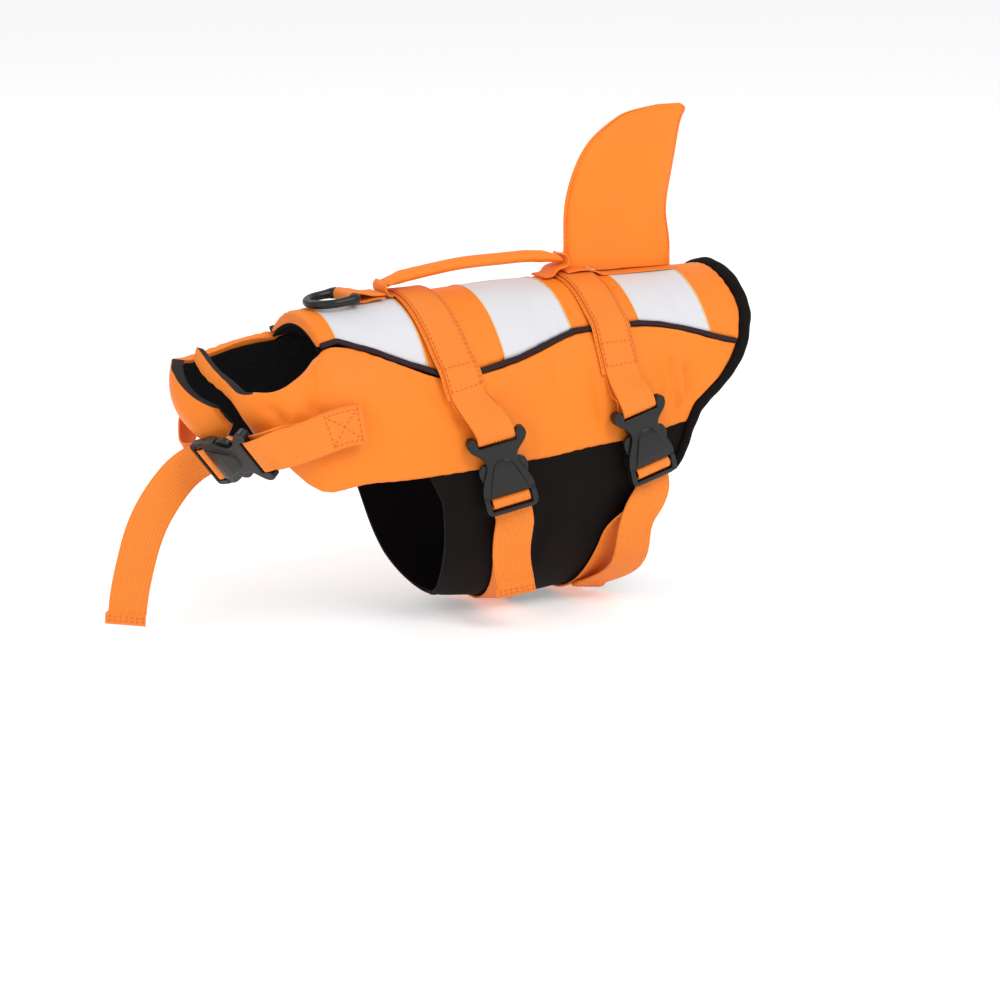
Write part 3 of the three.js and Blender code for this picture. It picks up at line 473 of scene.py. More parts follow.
def side_grid(side, flap, columns=61, step=2.2):
    """A side panel's surface: stations down the worn shape, then down the chest flap."""
    share = np.linspace(0, 1, columns)
    controls = []
    for x in STATIONS:
        slant = ease((x - SLANT_FROM) / (STATIONS[0] - SLANT_FROM))

        def back_at(turn):
            return x + (np.interp(turn, REAR[:, 0], REAR[:, 1]) - STATIONS[0] + UNDER_BINDING) * slant

        high = np.interp(x, PIPED[:, 0], PIPED[:, 1]) + PIPING_ROOM
        for _ in range(3):
            high = np.interp(back_at(high), PIPED[:, 0], PIPED[:, 1]) + PIPING_ROOM
        turn = high + (np.interp(x, LOW[:, 0], LOW[:, 1]) - high) * share
        controls.append(on_torso(back_at(turn), side * turn))
    for tx, ty, tz, lx, ly, lz, bulge in flap:
        top, low = np.array((tx, ty, tz)), np.array((lx, ly, lz))
        out = unit((top + low) / 2 - CHEST)
        controls.append(top + (low - top) * share[:, None] + out * (bulge * 4 * share * (1 - share))[:, None])
    controls = np.array(controls)
    middle = controls[:, columns // 2]
    knots = travelled(middle)
    at = np.linspace(0, knots[-1], int(knots[-1] / step))
    made = natural_curve(knots, controls.reshape(len(controls), -1), at)
    return made.reshape(len(at), columns, 3), at, knots


def cut_back(grid, cut):
    """The same rows with their first columns drawn in by a share of the row."""
    last = grid.shape[1] - 1
    place = (cut + (1 - cut) * np.linspace(0, 1, last + 1)[None, :]) * last
    low = np.minimum(place.astype(int), last - 1)
    part = (place - low)[..., None]
    rows = np.arange(len(grid))[:, None]
    return grid[rows, low] * (1 - part) + grid[rows, low + 1] * part


for side, name, flap in [(1, "left", LEFT_FLAP), (-1, "right", RIGHT_FLAP)]:
    grid, at, knots = side_grid(side, flap)
    share = np.linspace(0, 1, grid.shape[1])[None, :] + 0 * grid[..., 0]
    middle = np.stack([np.maximum(grid[..., 0], -110), 0 * grid[..., 0], 40 + 0 * grid[..., 0]], -1)
    normal = looks_out(grid, middle)
    width = np.linalg.norm(np.diff(grid, axis=1), axis=-1).sum(1)[:, None]
    along = at[:, None] + 0 * share
    flap_part = np.clip((along - knots[len(STATIONS)]) / (knots[-1] - knots[len(STATIONS)]), 0, 1)
    depth = padding(share) * (1 - 0.45 * ease(flap_part))
    rim = np.minimum(along, knots[-1] - along)
    depth = np.minimum(depth, FOAM_AT_SEAM + 0.45 * rim)
    in_neck = np.clip((along - knots[len(STATIONS) - 2]) / 18, 0, 1)
    depth = np.maximum(depth, 7.0 * in_neck)
    from_rear = np.clip(along / 6, 0.1, 1)
    to_top, to_low = share * width, (1 - share) * width
    lift = -from_rear * (roll(to_top, PIPED_ROLL + 1.1 * in_neck) + roll(to_low, OPEN_ROLL))
    lift -= roll(along, 2.0) + roll(knots[-1] - along, OPEN_ROLL)
    lift -= pucker(along, to_top, 5 + 2 * in_neck, 0.35 + 0.35 * in_neck, 3 if side > 0 else 4)
    lift -= pucker(along, to_low, 5, 0.45, 7)
    lift -= pucker(to_top, knots[-1] - along, 5, 0.5, 8)
    inward = np.clip(to_low / 16, 0, 1) * np.clip(along / 14 - 0.3, 0, 1)
    lift += 0.55 * swell(grid, 62, 9 if side > 0 else 10)
    lift += 1.7 * inward * creases(grid, SIDE_CREASES[name], [0, 2])
    lift = np.minimum(lift, 1.6)
    outer = grid + normal * lift[..., None]
    free_from, full_at = (0.36, 0.66) if side > 0 else (0.6, 0.72)         # where the flap's rim is free
    free = np.clip((flap_part - free_from) / (full_at - free_from), 0, 1)
    outer = cut_back(outer, ((5.6 - 2.4 * flap_part) * free / width)[:, :1])
    inner = grid - normal * depth[..., None]
    points, faces, flat, finish = wall(outer, inner)
    # The turned rim faces and the strip of inner wall beside them take the lighter lining copy: painted light
    # on the lit edge.
    at_rim = np.zeros(along.shape, bool)
    at_rim[:, 0] = free[:, 0] > 0.12
    at_rim[-1] = True
    at_rim[:, -1] = flap_part[:, -1] > 0.35
    two_walls = np.concatenate([at_rim.reshape(-1)] * 2)
    ends = two_walls[faces].all(1) & (np.arange(len(faces)) >= len(faces) - 2 * sum(along.shape) + 4)
    finish = np.where(ends, 1, finish)
    fronts = (grid.shape[0] - 1) * (grid.shape[1] - 1)
    lit_rim_faces = (knots[-1] - along < 9) | ((free > 0.12) & (to_top < 11))
    finish[fronts:2 * fronts] = lit_rim_faces[1:, 1:].reshape(-1)
    panel = piece(f"side_{name}", (points, faces, flat, finish), [orange_cloth, charcoal_edge],
                  [f"side_{name}"])
    away = depth + INSIDE
    slack = 0.6 * swell(grid, 34, 30) - 0.4
    turned = in_neck[:, :1] * np.interp(flap_part[:, :1], [0, 0.6, 0.7, 1], [3.2, 1.8, 7.5, 6.5]) / width
    short = at < knots[-1] - 6.5
    sides = [grid - normal * away[..., None], grid - normal * (away + LINING - 0.6 * slack)[..., None]]
    sides = [cut_back(face, turned)[short][::2, ::2] for face in sides]
    lining = piece(f"lining_{name}", wall(*sides), [black_mesh], [f"lining_{name}"])
    area = cloth_area(grid)

# Piping: a thin cord in folded dark tape, caught in the two long seams between the saddle and the side
# panels, from the neck opening to the binding at the rear.
PIPING = 1.9
PIPING_END = 211


def smooth_path(points, step):
    """A path evenly stepped along a natural curve through the points."""
    points = np.array(points, float)
    knots = travelled(points[:, :3])
    fine = natural_curve(knots, points, np.linspace(0, knots[-1], 16 * len(points)))
    length = travelled(fine[:, :3])
    at = np.linspace(0, length[-1], max(4, int(length[-1] / step) + 1))
    return np.stack([np.interp(at, length, fine[:, k]) for k in range(fine.shape[1])], -1), at


def directions(path, across):
    """Unit directions along a path, across it and out of its face."""
    along = unit(np.gradient(path, axis=0))
    across = unit(across - along * np.sum(across * along, axis=1, keepdims=True))
    return along, across, np.cross(across, along)


def sweep(path, across, section, girth):
    """A closed solid along a path. A section gives, at each station, pairs of sizes: out of the face
    and across the piece. The girth is the cloth's own coordinate round the section."""
    _, across, face = directions(path, across)
    section = np.broadcast_to(section, (len(path), *np.shape(section)[-2:]))
    ring = path[:, None] + face[:, None] * section[..., :1] + across[:, None] * section[..., 1:]
    rows, count = ring.shape[:2]
    index = np.arange(rows * count).reshape(rows, count)
    after = np.roll(index, -1, axis=1)
    body = np.stack([index[:-1], after[:-1], after[1:], index[1:]], -1).reshape(-1, 4)
    caps = []
    for row, flip in [(index[0], 1), (index[-1], -1)]:
        for k in range(count // 2 - 1):
            caps.append([row[k], row[-1 - k], row[-2 - k], row[k + 1]][::flip])
    faces = np.concatenate([body, np.array(caps)])
    flat = np.stack(np.broadcast_arrays(girth, travelled(path)[:, None]), -1).reshape(-1, 2)
    return ring.reshape(-1, 3), faces, flat, np.zeros(len(faces), int)


def swept(name, path, across, section, girth, cloth, sharp=50):
    """A piece swept along a path, that stands for the node of its own name."""
    return piece(name, sweep(path, across, section, girth), [cloth], [name], sharp=sharp)


def round_section(high, broad, count):
    """An oval section, so high and so broad to each side, and its girth."""
    angle = 2 * np.pi * (np.arange(count) + 0.5) / count
    return np.stack([high * np.cos(angle), broad * np.sin(angle)], -1), broad * angle


def tape_cloth(name, color):
    """Twill tape, its ribs slanting round the cord inside."""
    cloth = Finish(name, color, 0.6, 0.0, 0.2)
    u, v = cloth.flat()
    rib = cloth.wave(u + v * 0.8, 0.0011)
    cloth.tint(rib * 0.2 + cloth.noise(0.02), 0.75, 1.25)
    cloth.relief(rib, 0.00012, 0.5)
    return cloth.material


dark_tape = tape_cloth("dark_tape", (0.026, 0.011, 0.016))
for side, name in [(1, "left"), (-1, "right")]:
    x = np.linspace(NECK_X + 0.6, PIPING_END, 260)
    turn = side * np.interp(x, PIPED[:, 0], PIPED[:, 1])
    path = on_torso(x, turn, 0.1)
    path += 0.12 * swell(path, 14, 40)[:, None]
    out = on_torso(x, turn, 1) - on_torso(x, turn, 0)
    across = np.cross(np.gradient(path, axis=0), out)
    section, girth = round_section(PIPING * 0.92, PIPING, 16)
    cord = swept(f"piping_{name}", path, across, section, girth, dark_tape, 80)

# The binding round the rear opening: a black cloth tube over a soft roll of foam, gathered where it
# turns, that ends at the corners of the belly panel.
BINDING = 5.1
BINDING_END = 109                         # turn of its two ends


def black_cloth(name, color, roughness):
    """Matte black jersey over neoprene, with a fine nap."""
    cloth = Finish(name, color, roughness, 0.0, 0.08)
    knit = cloth.noise(0.0009)
    slow = cloth.noise(0.05)
    cloth.tint(knit * 0.35 + slow * 0.75, 0.6, 1.7)
    cloth.relief(knit, 0.00025, 0.5)
    return cloth.material


black_jersey = black_cloth("black_jersey", (0.0052, 0.0036, 0.0034), 0.7)
turn = np.linspace(-BINDING_END, BINDING_END, 380)
back_edge = on_torso(np.interp(np.abs(turn), REAR[:, 0], REAR[:, 1]), turn, -1.7)
evener = np.hanning(15) / np.hanning(15).sum()
back_edge = [np.convolve(np.pad(column, 7, mode="edge"), evener, "valid") for column in back_edge.T]
back_edge = np.stack(back_edge, -1)
out = on_torso(back_edge[:, 0], turn, 1) - on_torso(back_edge[:, 0], turn, 0)
along = np.gradient(back_edge, axis=0)
back = unit(np.cross(out, along))
back *= np.sign(back[:, :1])
radius = BINDING - 1.1 * ease((np.abs(turn) - 50) / 35)      # thinner towards the belly corners
path = back_edge + back * (radius - 0.1)[:, None]
run = travelled(path)[:, None]
section, _ = round_section(1, 1, 36)
angle = np.arctan2(section[:, 1], section[:, 0])
fold = (0.5 * np.sin(run / 5.3 + 1.6 * np.sin(run / 31) + 0.9 * np.sin(angle + run / 60))
        + 0.35 * np.sin(run / 2.3 + 2.2 * np.sin(angle)))
shape = (radius[:, None] + 0.42 * fold - 0.15)[..., None] * section[None]
binding = swept("hem_binding", path, np.cross(along, out), shape, 5 * angle[None], black_jersey, 80)

# The belly panel: one piece of black neoprene under the ribs, sewn inside the lower edges of the side
# panels, with a turned front edge behind the forelegs.
NEOPRENE = 3.0
BELLY_INSIDE = 0.4                        # how far it lies inside the worn shape
FRONT = np.array([(96, -33), (107, -21.5), (121, -16.5), (145, -10), (165, -3), (180, 1)])   # turn, x
BELLY_CREASES = [(20, -66, -30, 30, -50, -70, 8, -0.9), (80, -68, -20, 88, -52, -66, 8, -0.8),
                 (128, -60, -50, 118, -40, -88, 6, -1.0), (60, 66, -30, 50, 48, -78, 8, -0.9),
                 (110, 66, -24, 120, 50, -60, 7, -0.8)]
share = np.linspace(-1, 1, 181)[None, :]
along = np.linspace(0, 1, 61)[:, None]
turn = 180 - np.abs(share) * 84 + 0 * along
for _ in range(4):
    front = np.interp(turn, FRONT[:, 0], FRONT[:, 1])
    rear = np.interp(turn, REAR[:, 0], REAR[:, 1]) + 1.4
    x = front * (1 - along) + rear * along
    turn = 180 - np.abs(share) * (180 - np.interp(x, LOW[:, 0], LOW[:, 1]) + 2.2)
turn = np.where(share < 0, turn, 360 - turn)
place = on_torso(x, turn)
width = np.abs(rear - front)
to_front, to_back = along * width, (1 - along) * width
front_seam = 0.5 * np.exp(-((to_front - 6) / 1.1) ** 2)
lift = -BELLY_INSIDE - roll(to_front, 1.2) - roll(to_back, 1.2) - front_seam
lift -= 1.5 * np.exp(-((1 - np.abs(share)) * 110 / 4) ** 2)
lift += 0.5 * swell(place, 70, 51) + creases(place, BELLY_CREASES, [0, 2])
lift = np.minimum(lift, 0.1)
belly = piece("belly_panel", wall(on_torso(x, turn, lift), on_torso(x, turn, -BELLY_INSIDE - NEOPRENE)),
              [black_jersey], ["belly_panel"])
area = cloth_area(place)

# Two straps cross the back and come down to the belly buckles: a smooth band sewn to the saddle, the
# ribbed webbing sewn on it along both edges, and a second webbing that comes from the right side under
# the belly, through the ladder lock, to a loose folded end.
WEB = 25
WEB_THICK = 1.6
BAND = 30
BAND_THICK = 1.0
BAND_LIFT = 1.5                           # middle of the band over the worn shape
WEB_LIFT = 2.9
BELLY_LIFT = 1.3
BAND_SEAM = 13.9                          # seams to each side of the middle
WEB_SEAM = 11.0
FOLD = 7.5                                # length of a folded end
STRAPS = {
    "strap_1": {"path": [(0, -11), (50, -9), (70, -3), (96, 13), (140, 38), (180, 48)],
                "bar": (8, -80, 19), "lock": (23, -80, -35), "face": (-0.36, -0.92, 0.1),
                "tail": [(23, -77, -51), (22.5, -77, -67), (25.5, -77, -83), (27, -77, -90)],
                "across": (-0.91, 0.41, 0)},
    "strap_2": {"path": [(0, 113.5), (50, 113), (70, 114), (96, 120), (140, 115), (180, 112)],
                "bar": (118, -78, 26), "lock": (134, -77, -27), "face": (-0.08, -0.99, 0.05),
                "tail": [(126, -73, -46), (121.5, -71.5, -60), (122, -67, -75), (122.5, -56, -89),
                         (118, -41, -99), (112.5, -24, -107)],
                "across": (-0.98, 0.18, 0)}}
AROUND_BAR = [(-3, 3.3), (1.2, 3.2), (3.2, 1.5), (3.2, -1.5), (1.2, -3.2), (-3, -3.3), (-9, -3.3)]
AROUND_LOCK = [(52, -6.1), (45.5, -5.4), (41.8, -3.9), (41.25, -1.5), (41.25, 1.4), (42.6, 3.1), (44.3, 3.5),
               (46, 3.1), (47.4, 1.4), (47.4, -1.5), (48.7, -3.4), (53, -4), (58, -4)]   # down, out
seams = []


def buckle_frame(bar, lock, face):
    """The buckle's three directions (across, down, out of its face) and the point of its bar."""
    down = unit(np.subtract(lock, bar))
    across = unit(np.cross(down, face))
    return across, down, np.cross(across, down), np.array(bar, float)


def in_buckle(frame_of, rows):
    """Points given as down and out of a buckle, on its middle line."""
    _, down, out, bar = frame_of
    return [bar + down * d + out * o for d, o in rows]


def ribbon_section(width, thick, rib=0.0, pitch=2.05):
    """A flat section with round edges, ribbed lengthwise on both faces."""
    half = width / 2
    side = np.linspace(-half, half, int(width / pitch * 4) + 1 if rib else 25)
    edge = np.minimum(half - np.abs(side), thick / 2)
    out = np.sqrt(np.maximum(thick ** 2 / 4 - (thick / 2 - edge) ** 2, 0))
    valley = rib * (0.5 - 0.5 * np.cos(2 * np.pi * side / pitch)) * (edge > thick / 3)
    out = np.maximum(out, 0.15 * thick) - valley
    return np.stack([np.concatenate([out, -out[::-1]]), np.concatenate([side, side[::-1]])], -1)


def laid(keys, across_keys, step):
    """A ribbon's path and its across directions, evenly stepped through the key points."""
    both = np.concatenate([np.array(keys, float), np.array(across_keys, float)], axis=1)
    both, at = smooth_path(both, step)
    return both[:, :3], both[:, 3:], at


def hemmed(section, at):
    """The section of a ribbon whose end is folded over itself and sewn down."""
    left = at[-1] - at
    raised = np.clip((FOLD + 0.6 - left) / 0.9, 0, 1)[:, None]
    shape = np.repeat(section[None], len(at), 0)
    ends = np.clip(left / 1.2, 0.1, 1)[:, None]
    out = shape[..., 0] * (0.35 + 0.65 * ends)
    shape[..., 0] = np.where(out > 0, out + raised * WEB_THICK * (0.25 + 0.75 * ends), out)
    shape[..., 1] = shape[..., 1] * (1 + 0.05 * raised) + 0.9 * raised
    return shape


def beside(path, side, out, aside):
    """A seam line along a ribbon: so far out of its face and to one side of its middle."""
    _, cross, face = directions(path, side)
    return path + face * out + cross * aside


def on_ribbon(path, side, at, rows, out):
    """A seam through places on a ribbon given as (distance along, across)."""
    _, cross, face = directions(path, side)
    points = []
    for (a0, s0), (a1, s1) in zip(rows[:-1], rows[1:]):
        for share in np.linspace(0, 1, 10):
            along = a0 + (a1 - a0) * share
            row = np.abs(at - along).argmin()
            points.append(path[row] + face[row] * out + cross[row] * (s0 + (s1 - s0) * share))
    return np.array(points)


def sewn_end(path, side, at):
    """Two rows of stitches through a folded end, on both its faces."""
    for from_end in (2.2, 5.8):
        row = at[-1] - from_end
        for out in (-1.0, 1.0 + WEB_THICK):
            seams.append(on_ribbon(path, side, at, [(row, -WEB_SEAM), (row, WEB_SEAM)], out))


def webbing_cloth(name, color, pitch):
    """Ribbed nylon webbing: each rib is a row of short slanting threads with a soft shine; the valleys
    between the ribs are painted darker as painted shade.
    """
    cloth = Finish(name, color, 0.45, 0.03, 0.28)
    u, v = cloth.flat()
    threads = cloth.wave(v + cloth.wave(u, 2 * pitch) * 0.0003, 0.0013)
    # The valleys between the ribs are darkened in the colour: painted shade.
    valley = 0.5 - 0.5 * cloth.wave(u + pitch * 0.25, pitch)
    slub = cloth.noise(0.002)
    cloth.tint(0.70 + threads * 0.12 + slub * 0.35 - valley * 0.42, 0.80, 1.05)
    cloth.drive("Roughness", 0.40 + 0.25 * slub)
    cloth.relief(threads * 0.6 + slub, 0.00022, 0.7)
    return cloth.material


def smooth_tape(name, color):
    """Close plain tape, fine across, a little glossy."""
    cloth = Finish(name, color, 0.5, 0.02, 0.28)
    u, v = cloth.flat()
    threads = cloth.wave(v, 0.0008) * cloth.wave(u, 0.0008)
    slow = cloth.noise(0.02)
    cloth.tint(slow * 0.8 + threads * 0.1, 0.86, 1.04)
    cloth.relief(threads, 0.00012, 0.5)
    return cloth.material


orange_webbing = webbing_cloth("orange_webbing", (0.90, 0.235, 0.024), 0.00205)
orange_tape = smooth_tape("orange_tape", (0.91, 0.235, 0.020))
RIBBED = ribbon_section(WEB, WEB_THICK, 0.34)
buckles = {}
for name, strap in STRAPS.items():
    table = np.array(strap["path"], float)
    frame_of = buckle_frame(strap["bar"], strap["lock"], strap["face"])
    buckles["buckle_" + name[-1]] = frame_of
    across = frame_of[0]

    def strap_at(turns, lift):
        turns = np.asarray(turns, float)
        folded = np.minimum(np.abs(turns), 360 - np.abs(turns))
        x = natural_curve(table[:, 0], table[:, 1:], folded)[:, 0]
        return on_torso(x, turns, lift)

    turns = np.linspace(-93, 66, 40)
    over_cord = 1.7 * np.exp(-((np.abs(turns) - np.interp(table[1, 1], PIPED[:, 0], PIPED[:, 1])) / 5.5) ** 2)
    path, side, at = laid(strap_at(turns, BAND_LIFT + over_cord), [(1, 0, 0)] * len(turns), 1.6)
    flat_band = ribbon_section(BAND, BAND_THICK)
    band = swept(name + "_band", path, side, flat_band, flat_band[:, 1], orange_tape)
    round(at[-1] / 1000, 3)
    for edge in (-1, 1):
        seams.append(beside(path[6:-3], side[6:-3], -0.55, edge * BAND_SEAM))

    behind = [*in_buckle(frame_of, [(-9, -4.6)]), *strap_at([66, 58], [0.6, 0.4])]
    keys = [*strap_at(turns, WEB_LIFT + over_cord), *in_buckle(frame_of, AROUND_BAR), *behind]
    sides = [(1, 0, 0)] * len(turns) + [-across] * (len(AROUND_BAR) + 1) + [(1, 0, 0)] * 2
    path, side, at = laid(keys, sides, 1.4)
    back = swept(name + "_back", path, side, RIBBED, RIBBED[:, 1], orange_webbing)
    round(at[-1] / 1000, 3)
    name + "_band"
    on_band = np.linalg.norm(path[:200] - strap_at([66], WEB_LIFT)[0], axis=1).argmin()
    for edge in (-1, 1):
        seams.append(beside(path[8:on_band - 3], side[8:on_band - 3], -0.92, edge * WEB_SEAM))
    for row in (on_band - 3, on_band - 14):
        seams.append(on_ribbon(path, side, at, [(at[row], -WEB_SEAM), (at[row], WEB_SEAM)], -0.95))

    turns = np.linspace(264, 128, 36)
    under = strap_at(turns, BELLY_LIFT)
    ahead = strap_at(turns, 0)
    lock_rows = in_buckle(frame_of, [(64, -7.4)] + AROUND_LOCK)
    keys = [*under, *lock_rows, *strap["tail"]]
    swing = [np.array(strap["across"], float) * share + across * (1 - share)
             for share in np.clip((np.arange(len(strap["tail"])) + 1) / 3, 0, 1)]
    surface = unit(on_torso(ahead[:, 0] - 12, turns) - on_torso(ahead[:, 0] + 12, turns))
    path, side, at = laid(keys, [*surface, *[across] * len(lock_rows), *swing], 1.3)
    lower = swept(name + "_lower", path, side, hemmed(RIBBED, at), RIBBED[:, 1], orange_webbing)
    round(at[-1] / 1000, 3)
    sewn_end(path, side, at)

# The neck strap: a doubled tab sewn to the left panel with a crossed box of stitches holds the buckle,
# and the webbing from the right panel comes through its ladder lock and hangs down, its end folded.
NECK = {"bar": (-147.9, -53.2, 20), "lock": (-161, -8.9, 7.5), "face": (-0.75, -0.37, -0.54),
        "tab": [(-80, -64.2, 34), (-94, -64.6, 33.2), (-108, -64.5, 30.2), (-122, -62.5, 26.2)],
        "web": [(-80, 63.6, 34), (-95, 63.8, 34), (-110, 63.2, 32), (-127, 60.8, 29), (-143, 54.5, 23.5),
                (-153.5, 43, 15), (-159.5, 29, 9), (-163, 13, 6)],
        "tail": [(-170, 7.5, 0.5), (-179.5, 9, -8.5), (-188.5, 10, -20), (-198, 11, -37), (-204.5, 11.5, -56),
                 (-209.5, 11.5, -75), (-212, 11.5, -91), (-212.5, 11.5, -98)],
        "across": (-0.8, 0.6, 0.1)}


def crossed_box(path, side, at, outward):
    """A box of stitches with a cross in it, near the start of a ribbon, on the face that looks out."""
    out = 0.95 if directions(path, side)[2][4] @ np.array(outward) > 0 else -0.95
    for rows in ([(3, -10), (3, 10), (25, 10), (25, -10), (3, -10)], [(3, -10), (25, 10)],
                 [(3, 10), (25, -10)]):
        seams.append(on_ribbon(path, side, at, rows, out))


neck_frame = buckle_frame(NECK["bar"], NECK["lock"], NECK["face"])
buckles["buckle_neck"] = neck_frame
across = neck_frame[0]
under = np.array(NECK["tab"], float)
over = under + np.array([(-0.3 * i, -1.9 - 0.1 * i, 0) for i in range(4)])
keys = [*over, *in_buckle(neck_frame, [(-9, 2), *AROUND_BAR[:-1], (-9, -4)]), *under[::-1]]
sides = []
for i in range(len(keys)):
    share = np.clip((min(i, len(keys) - 1 - i) - 1) / 3, 0, 1)
    sides.append(np.array((0.04, -0.3, -0.95)) * (1 - share) - across * share)
path, side, at = laid(keys, sides, 1.0)
tab = swept("neck_tab", path, side, RIBBED, RIBBED[:, 1], orange_webbing)
round(at[-1] / 1000, 3)
crossed_box(path, side, at, (0, -1, 0))

keys = [*NECK["web"], *in_buckle(neck_frame, AROUND_LOCK), *NECK["tail"]]
sides = []
for i in range(len(keys)):
    before = np.clip((i - 2) / (len(NECK["web"]) - 2), 0, 1)
    past = np.clip((i - len(NECK["web"]) - len(AROUND_LOCK) + 1) / 5, 0, 1)
    if i < len(NECK["web"]):
        sides.append(np.array((0, 0, 1)) * (1 - before) + across * before)
    else:
        sides.append(across * (1 - past) + np.array(NECK["across"]) * past)
path, side, at = laid(keys, sides, 1.4)
webbing = swept("neck_webbing", path, side, hemmed(RIBBED, at), RIBBED[:, 1], orange_webbing)
round(at[-1] / 1000, 3)
crossed_box(path, side, at, (0, 1, 0))
sewn_end(path, side, at)

# Three black side-release buckles of moulded acetal: a socket with two rounded ears and a raised
# tongue on its face, and a ladder lock whose two prongs show in the waist of the socket.
EARS = [(12.9, 1.0), (13.1, -0.6), (14.0, -1.9), (15.6, -2.7), (17.6, -2.5), (19.2, -1.2), (19.9, 0.9),
        (19.6, 3.3), (18.4, 5.8), (16.2, 8.3), (13.6, 10.6), (11.6, 13.0), (10.6, 15.6), (10.5, 18.4),
        (11.4, 21.2), (13.0, 24.2), (14.9, 28.0), (16.4, 32.0), (17.2, 35.6), (17.4, 38.7)]   # across, down
SIDE_VIEW = [(-7.2, 3.0), (-2, 3.6), (7, 3.9), (14, 3.9), (24, 3.9), (34, 3.7), (38.7, 3.2), (38.7, -3.7),
             (35, -4.2), (14, -4.0), (7, -3.2), (1.4, -3.0), (-2, -2.8), (-7.2, -2.4)]        # down, out
TONGUE = [(13.2, 42), (12.6, 38), (10.8, 31.5), (9.0, 26.0), (7.4, 21.6), (5.9, 18.5), (4.0, 16.7),
          (1.8, 15.9)]                                                     # across, down
TONGUE_VIEW = [(10, 3.0), (15, 4.8), (20, 5.6), (27, 6.0), (34, 5.6), (38.9, 4.6), (38.9, 0), (10, 0)]
LADDER = [(-16.4, 37.6), (16.4, 37.6), (17.3, 39.2), (17.5, 47.6), (16.9, 50.2), (15.3, 52.0), (12.8, 52.9),
          (-12.8, 52.9), (-15.3, 52.0), (-16.9, 50.2), (-17.5, 47.6), (-17.3, 39.2)]
LADDER_VIEW = [(35, 2.8), (39.4, 2.8), (41, 3.5), (47, 3.1), (51, 2.9), (53.4, 1.6), (53.4, -2.2), (46, -2.6),
               (35, -3.3)]
PRONG = [(9.5, 17.2), (12.4, 17.0), (14.7, 18.2), (16.1, 20.6), (16.5, 23.4), (16.0, 26.2), (15.0, 28.4),
         (15.0, 38.6), (9.5, 38.6)]


def both_sides(half):
    """A whole outline from its one side."""
    return half + [(-side, down) for side, down in reversed(half)]


def prism(outline, low, high, side_view=False):
    """A plain block cut to an outline, between two depths, or to a side view across the buckle."""
    count = len(outline)
    if side_view:
        points = [(low, d, o) for d, o in outline] + [(high, d, o) for d, o in outline]
    else:
        points = [(a, d, low) for a, d in outline] + [(a, d, high) for a, d in outline]
    faces = [tuple(range(count))[::-1], tuple(range(count, 2 * count))]
    faces += [(k, (k + 1) % count, count + (k + 1) % count, count + k) for k in range(count)]
    mesh = bpy.data.meshes.new("block")
    mesh.from_pydata(points, [], faces)
    block = bpy.data.objects.new("block", mesh)
    bpy.context.collection.objects.link(block)
    return block


def settled(block):
    """The mesh of a block once its modifiers have worked."""
    return bpy.data.meshes.new_from_object(block.evaluated_get(bpy.context.evaluated_depsgraph_get()))


def cut(first, kind, second):
    """Joins, cuts or trims one block with another and keeps the first."""
    made = first.modifiers.new("cut", "BOOLEAN")
    made.operation = kind
    made.solver = "EXACT"
    made.object = second
    made_of = settled(first)
    first.modifiers.clear()
    first.data = made_of
    bpy.data.objects.remove(second)
    return first


def moulded(block, voxel, soft):
    """The block as it leaves the mould: every edge a little rounded."""
    grain = block.modifiers.new("grain", "REMESH")
    grain.mode = "VOXEL"
    grain.voxel_size = voxel
    ease = block.modifiers.new("ease", "SMOOTH")
    ease.factor = 0.5
    ease.iterations = soft
    mesh = settled(block)
    points = np.zeros(len(mesh.vertices) * 3)
    mesh.vertices.foreach_get("co", points)
    faces = np.zeros(len(mesh.loops), int)
    mesh.loops.foreach_get("vertex_index", faces)
    bpy.data.objects.remove(block)
    return points.reshape(-1, 3), faces.reshape(-1, 4)


def box(half, start, end, low, high):
    """A plain block for a hole."""
    return prism([(-half, start), (half, start), (half, end), (-half, end)], low, high)


plate = cut(prism(both_sides(EARS), -8, 8), "INTERSECT", prism(SIDE_VIEW, -25, 25, True))
tongue = cut(prism(both_sides(TONGUE), -1, 8), "INTERSECT", prism(TONGUE_VIEW, -25, 25, True))
plate = cut(plate, "UNION", tongue)
for hole in [(12.9, 1.3, 4.8, -10, 10), (15.3, 28.0, 42, -2.0, 2.0)]:      # for the webbing, for the lock
    plate = cut(plate, "DIFFERENCE", box(*hole))
socket_form = moulded(plate, voxel=0.5, soft=4)

ladder = cut(prism(LADDER, -8, 8), "INTERSECT", prism(LADDER_VIEW, -25, 25, True))
for hole in [(13.9, 40.1, 43.0, -10, 10), (13.9, 45.6, 49.6, -10, 10), (13.9, 42.6, 46.0, 2.1, 10)]:
    ladder = cut(ladder, "DIFFERENCE", box(*hole))
for side in (-1, 1):
    ladder = cut(ladder, "UNION", prism([(side * a, d) for a, d in PRONG][::side], -1.6, 1.6))
lock_form = moulded(ladder, voxel=0.45, soft=3)

plastic = Finish("black_acetal", (0.0065, 0.0063, 0.0060), 0.36, 0.0, 0.38)
fine = plastic.noise(0.0008)
smear = plastic.noise(0.012, 3.0)
plastic.drive("Roughness", 0.27 + 0.16 * smear)
plastic.relief(fine, 0.00003, 0.5)
for name, (across, down, out, bar) in buckles.items():
    for part, (points, faces) in [("socket", socket_form), ("lock", lock_form)]:
        placed = bar + points[:, :1] * across + points[:, 1:2] * down + points[:, 2:] * out
        form = (placed, faces, points[:, :2], np.zeros(len(faces), int))
        made = piece(f"{name}_{part}", form, [plastic.material], [f"{name}_{part}"], sharp=60)

